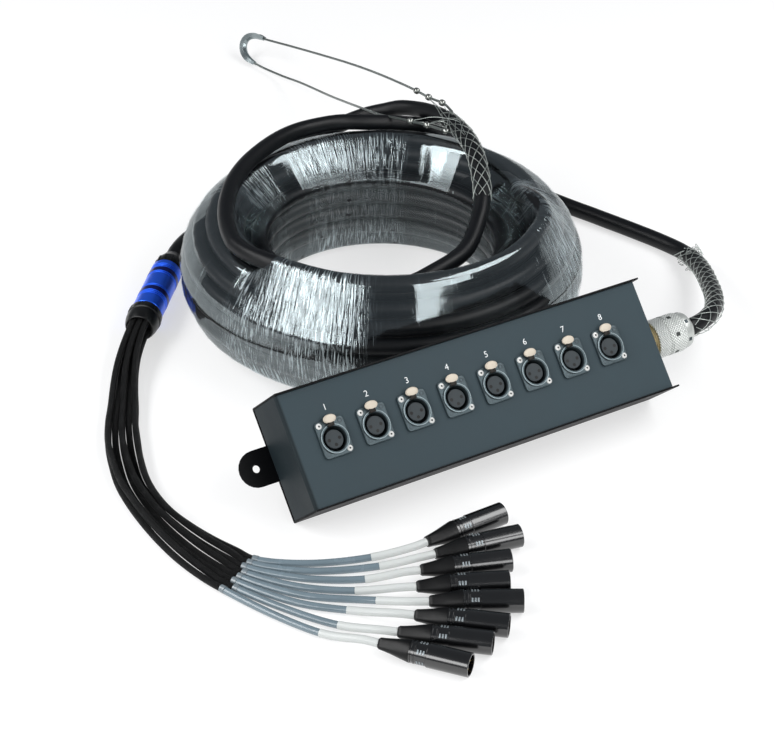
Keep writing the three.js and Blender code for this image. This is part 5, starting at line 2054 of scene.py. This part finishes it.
@dataclass
class Coupling:
    """The screw coupling at the box's end, along z out of it."""

    place: Matrix
    thread: Pair = (15.8, 0.7)
    thread_start: float = 4.0
    thread_step: float = 0.9
    thread_points: int = 20
    marks: int = 6

    def build(self) -> None:
        """Makes the socket, the knurled band, the ring and the cable clamp."""
        crest, depth = self.thread
        thread = [
            (crest - depth * (k % 2), self.thread_start + self.thread_step * k)
            for k in range(self.thread_points)
        ]
        socket = Shape.turned([
            (0, -15.5), (14, -15.5), (14, 0.3), (17.4, 0.3), (18, 0.9), (18, 2.2), (17.4, 2.8),
            (crest, 2.8), *thread, (15.3, 21.3), (15.3, 29.5), (14.8, 30), (0, 30),
        ], 96)
        socket = socket.piece("coupling_socket", GOLD, Slot.GOLD, self.place, 35)
        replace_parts(socket, "chassis_socket")
        band = Shape.turned([
            (15.5, 9.2), (17.0, 9.2), (17.5, 9.7), (17.5, 20.7), (17.0, 21.2), (15.2, 21.2),
        ], 108, closed=True)
        band.wrapped().piece("coupling_band", KNURL, Slot.NICKEL, self.place, 35)
        ring = Shape.turned([
            (16.3, 21.7), (16.9, 21.7), (17.1, 22.0), (17.1, 23.6), (17.6, 23.9), (17.6, 37.0),
            (17.1, 37.3), (17.1, 38.6), (16.7, 39.0), (12.9, 39.0), (12.9, 37.4), (16.3, 37.4),
        ], 108, closed=True)
        rides = Body.RING.value
        ring = ring.wrapped().piece("coupling_nut", KNURL, Slot.NICKEL, self.place, 35, rides)
        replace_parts(ring, "coupling_ring")
        # The ring's windows are dark blocks of painted shade on its surface.
        windows = Shape.block((0.6, 3.4, 3.8), (17.45, 0, 28.6)).bevelled(0.15)
        windows = windows.around(self.marks, 0.2)
        windows.piece("coupling_nut_windows", WINDOW_SHADE, Slot.NICKEL, self.place, body=rides)
        clamp = Shape.turned([
            (0, 30.3), (15, 30.3), (15, 37.1), (12.5, 37.1), (12.5, 39.3), (15.6, 39.3),
            (16, 39.7), (16, 44.6), (15.2, 46.2), (12.4, 48.6), (10.4, 50), (0, 50),
        ], 96)
        clamp = clamp.piece("coupling_clamp", NICKEL, Slot.NICKEL, self.place, 35)
        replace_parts(clamp, "cable_clamp")
        # The clamp's slots are darker blocks of painted shade on its surface.
        slots = Shape.block((0.5, 3.4, 3.0), (15.95, 0, 42.0)).bevelled(0.15)
        slots.around(self.marks, 0.7).piece("coupling_clamp_slots", RIVET_AND_SLOT_SHADE, Slot.NICKEL, self.place)


@dataclass
class StageBox:
    """The box in its own frame: its sheets, and what sits on its panel and its end."""

    length: float = 350.0
    lean: float = 46.5
    origin: Spot = (-185.0, -13.692, -0.8275)
    panel: float = 53.3
    sockets: int = 8
    first: float = 36.0
    pitch: float = 38.3
    row: float = 50.8
    lift: float = 0.3
    digit: float = 7.4
    digit_spot: Pair = (2.2, 26.8)
    print_height: Pair = (0.05, 0.04)
    coupling_across: float = 47.0
    coupling_height: float = 28.0
    screw_ends: float = 10.0
    screw_rows: Pair = (18.0, 80.0)

    def place(self, u: float = 0.0, v: float = 0.0, w: float = 0.0) -> Matrix:
        """Gives a frame on the box, in metres.

        Args:
            u: Its place along the box.
            v: Its place across the back plate.
            w: Its height from the back plate.

        Returns:
            The frame.
        """
        lean = Matrix.Rotation(math.radians(self.lean), 4, "X")
        base = Matrix.Translation(Vector(self.origin) * MM) @ lean
        return base @ Matrix.Translation((u * MM, v * MM, w * MM))

    def build(self) -> None:
        """Dresses the folded sheets and makes what is on the panel and the ends."""
        sheets = {
            "base_channel": BLACK_POWDER, "top_panel": SLATE_POWDER, "wiring_harness": HOOKUP,
        }
        for node, finish in sheets.items():
            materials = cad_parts[node].data.materials
            materials.clear()
            materials.append(finish.material())
        for index in range(self.sockets):
            u = self.first + self.pitch * index
            Receptacle(index + 1, self.place(u, self.row, self.panel + self.lift)).build()
            self.number(index + 1, u)
        end = self.place(self.length, self.coupling_across, self.coupling_height)
        Coupling(end @ Matrix.Rotation(math.pi / 2, 4, "Y")).build()
        self.fasteners()

    def number(self, number: int, u: float) -> None:
        """Prints one socket's number on the panel.

        Args:
            number: The number.
            u: Its socket's place along the box.
        """
        above, half = self.print_height
        curve = bpy.data.curves.new(f"number_{number}", "FONT")
        curve.body = str(number)
        curve.size = self.digit * MM
        curve.extrude = half * MM
        curve.align_x, curve.align_y = "CENTER", "CENTER"
        text = put(curve.name, curve)
        bpy.context.view_layer.update()
        shown = text.evaluated_get(bpy.context.evaluated_depsgraph_get())
        mesh = bpy.data.meshes.new_from_object(shown)
        bpy.data.objects.remove(text)
        right, up = self.digit_spot
        mesh.transform(self.place(u + right, self.row + up, self.panel + above))
        dress(put(f"panel_number_{number}", mesh), NUMBER, Body.BOX.value, Slot.TAB)

    def fasteners(self) -> None:
        """Puts the pan-head screws under the back plate."""
        heads = Shape()
        dome = [(0, -1.7), (1.6, -1.6), (2.6, -1.1), (3.1, -0.2), (3.1, 0.0), (0, 0.0)]
        for u in (self.screw_ends, self.length - self.screw_ends):
            for v in self.screw_rows:
                heads.with_(Shape.turned(dome, 28).at(u, v, -0.05))
        heads.piece("back_plate_screws", BLACK_POWDER, Slot.BLACK_POWDER, self.place(), 50)


# ---------------------------------------------------------------- putting it together


def main() -> None:
    """Builds the object in order and logs the sizes of some sub-assemblies."""
    logging.basicConfig(level=logging.INFO)
    Studio().build()
    cable = WoundCable()
    trunk = cable.build()
    log.info("cable: %.2f m", cable.whole.length * MM)
    splitter = Splitter()
    parts = splitter.build()
    to_box, to_splitter = cable.box_line, cable.splitter_line
    gripped = to_box.part(4, to_box.nearest((336.5, 163, 10)) - 8, 3.0)
    box_grip = MeshGrip("box_end_mesh", 8.4, 5, 74.0, loose=16).build(gripped)
    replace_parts(box_grip, "box_end_grip")
    held_from, held_to = map(to_splitter.nearest, ((129.7, 202, 107), (171.8, 332.4, 121)))
    held = to_splitter.part(held_from, held_to, 3.0)
    basket = MeshGrip("pulling_mesh", 8.5, 6, 96.0).build(held)
    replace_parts(basket, "pulling_grip")
    tails = Tails()
    for number in range(1, len(TAIL_WAYS) + 1):
        tails.build(number, splitter, Plug(number).build())
    PullingLoop().build(held)
    film = StretchFilm(cable).build()
    log.info("film: %d faces", len(film.data.polygons))
    StageBox().build()


if __name__ == "__main__":
    main()
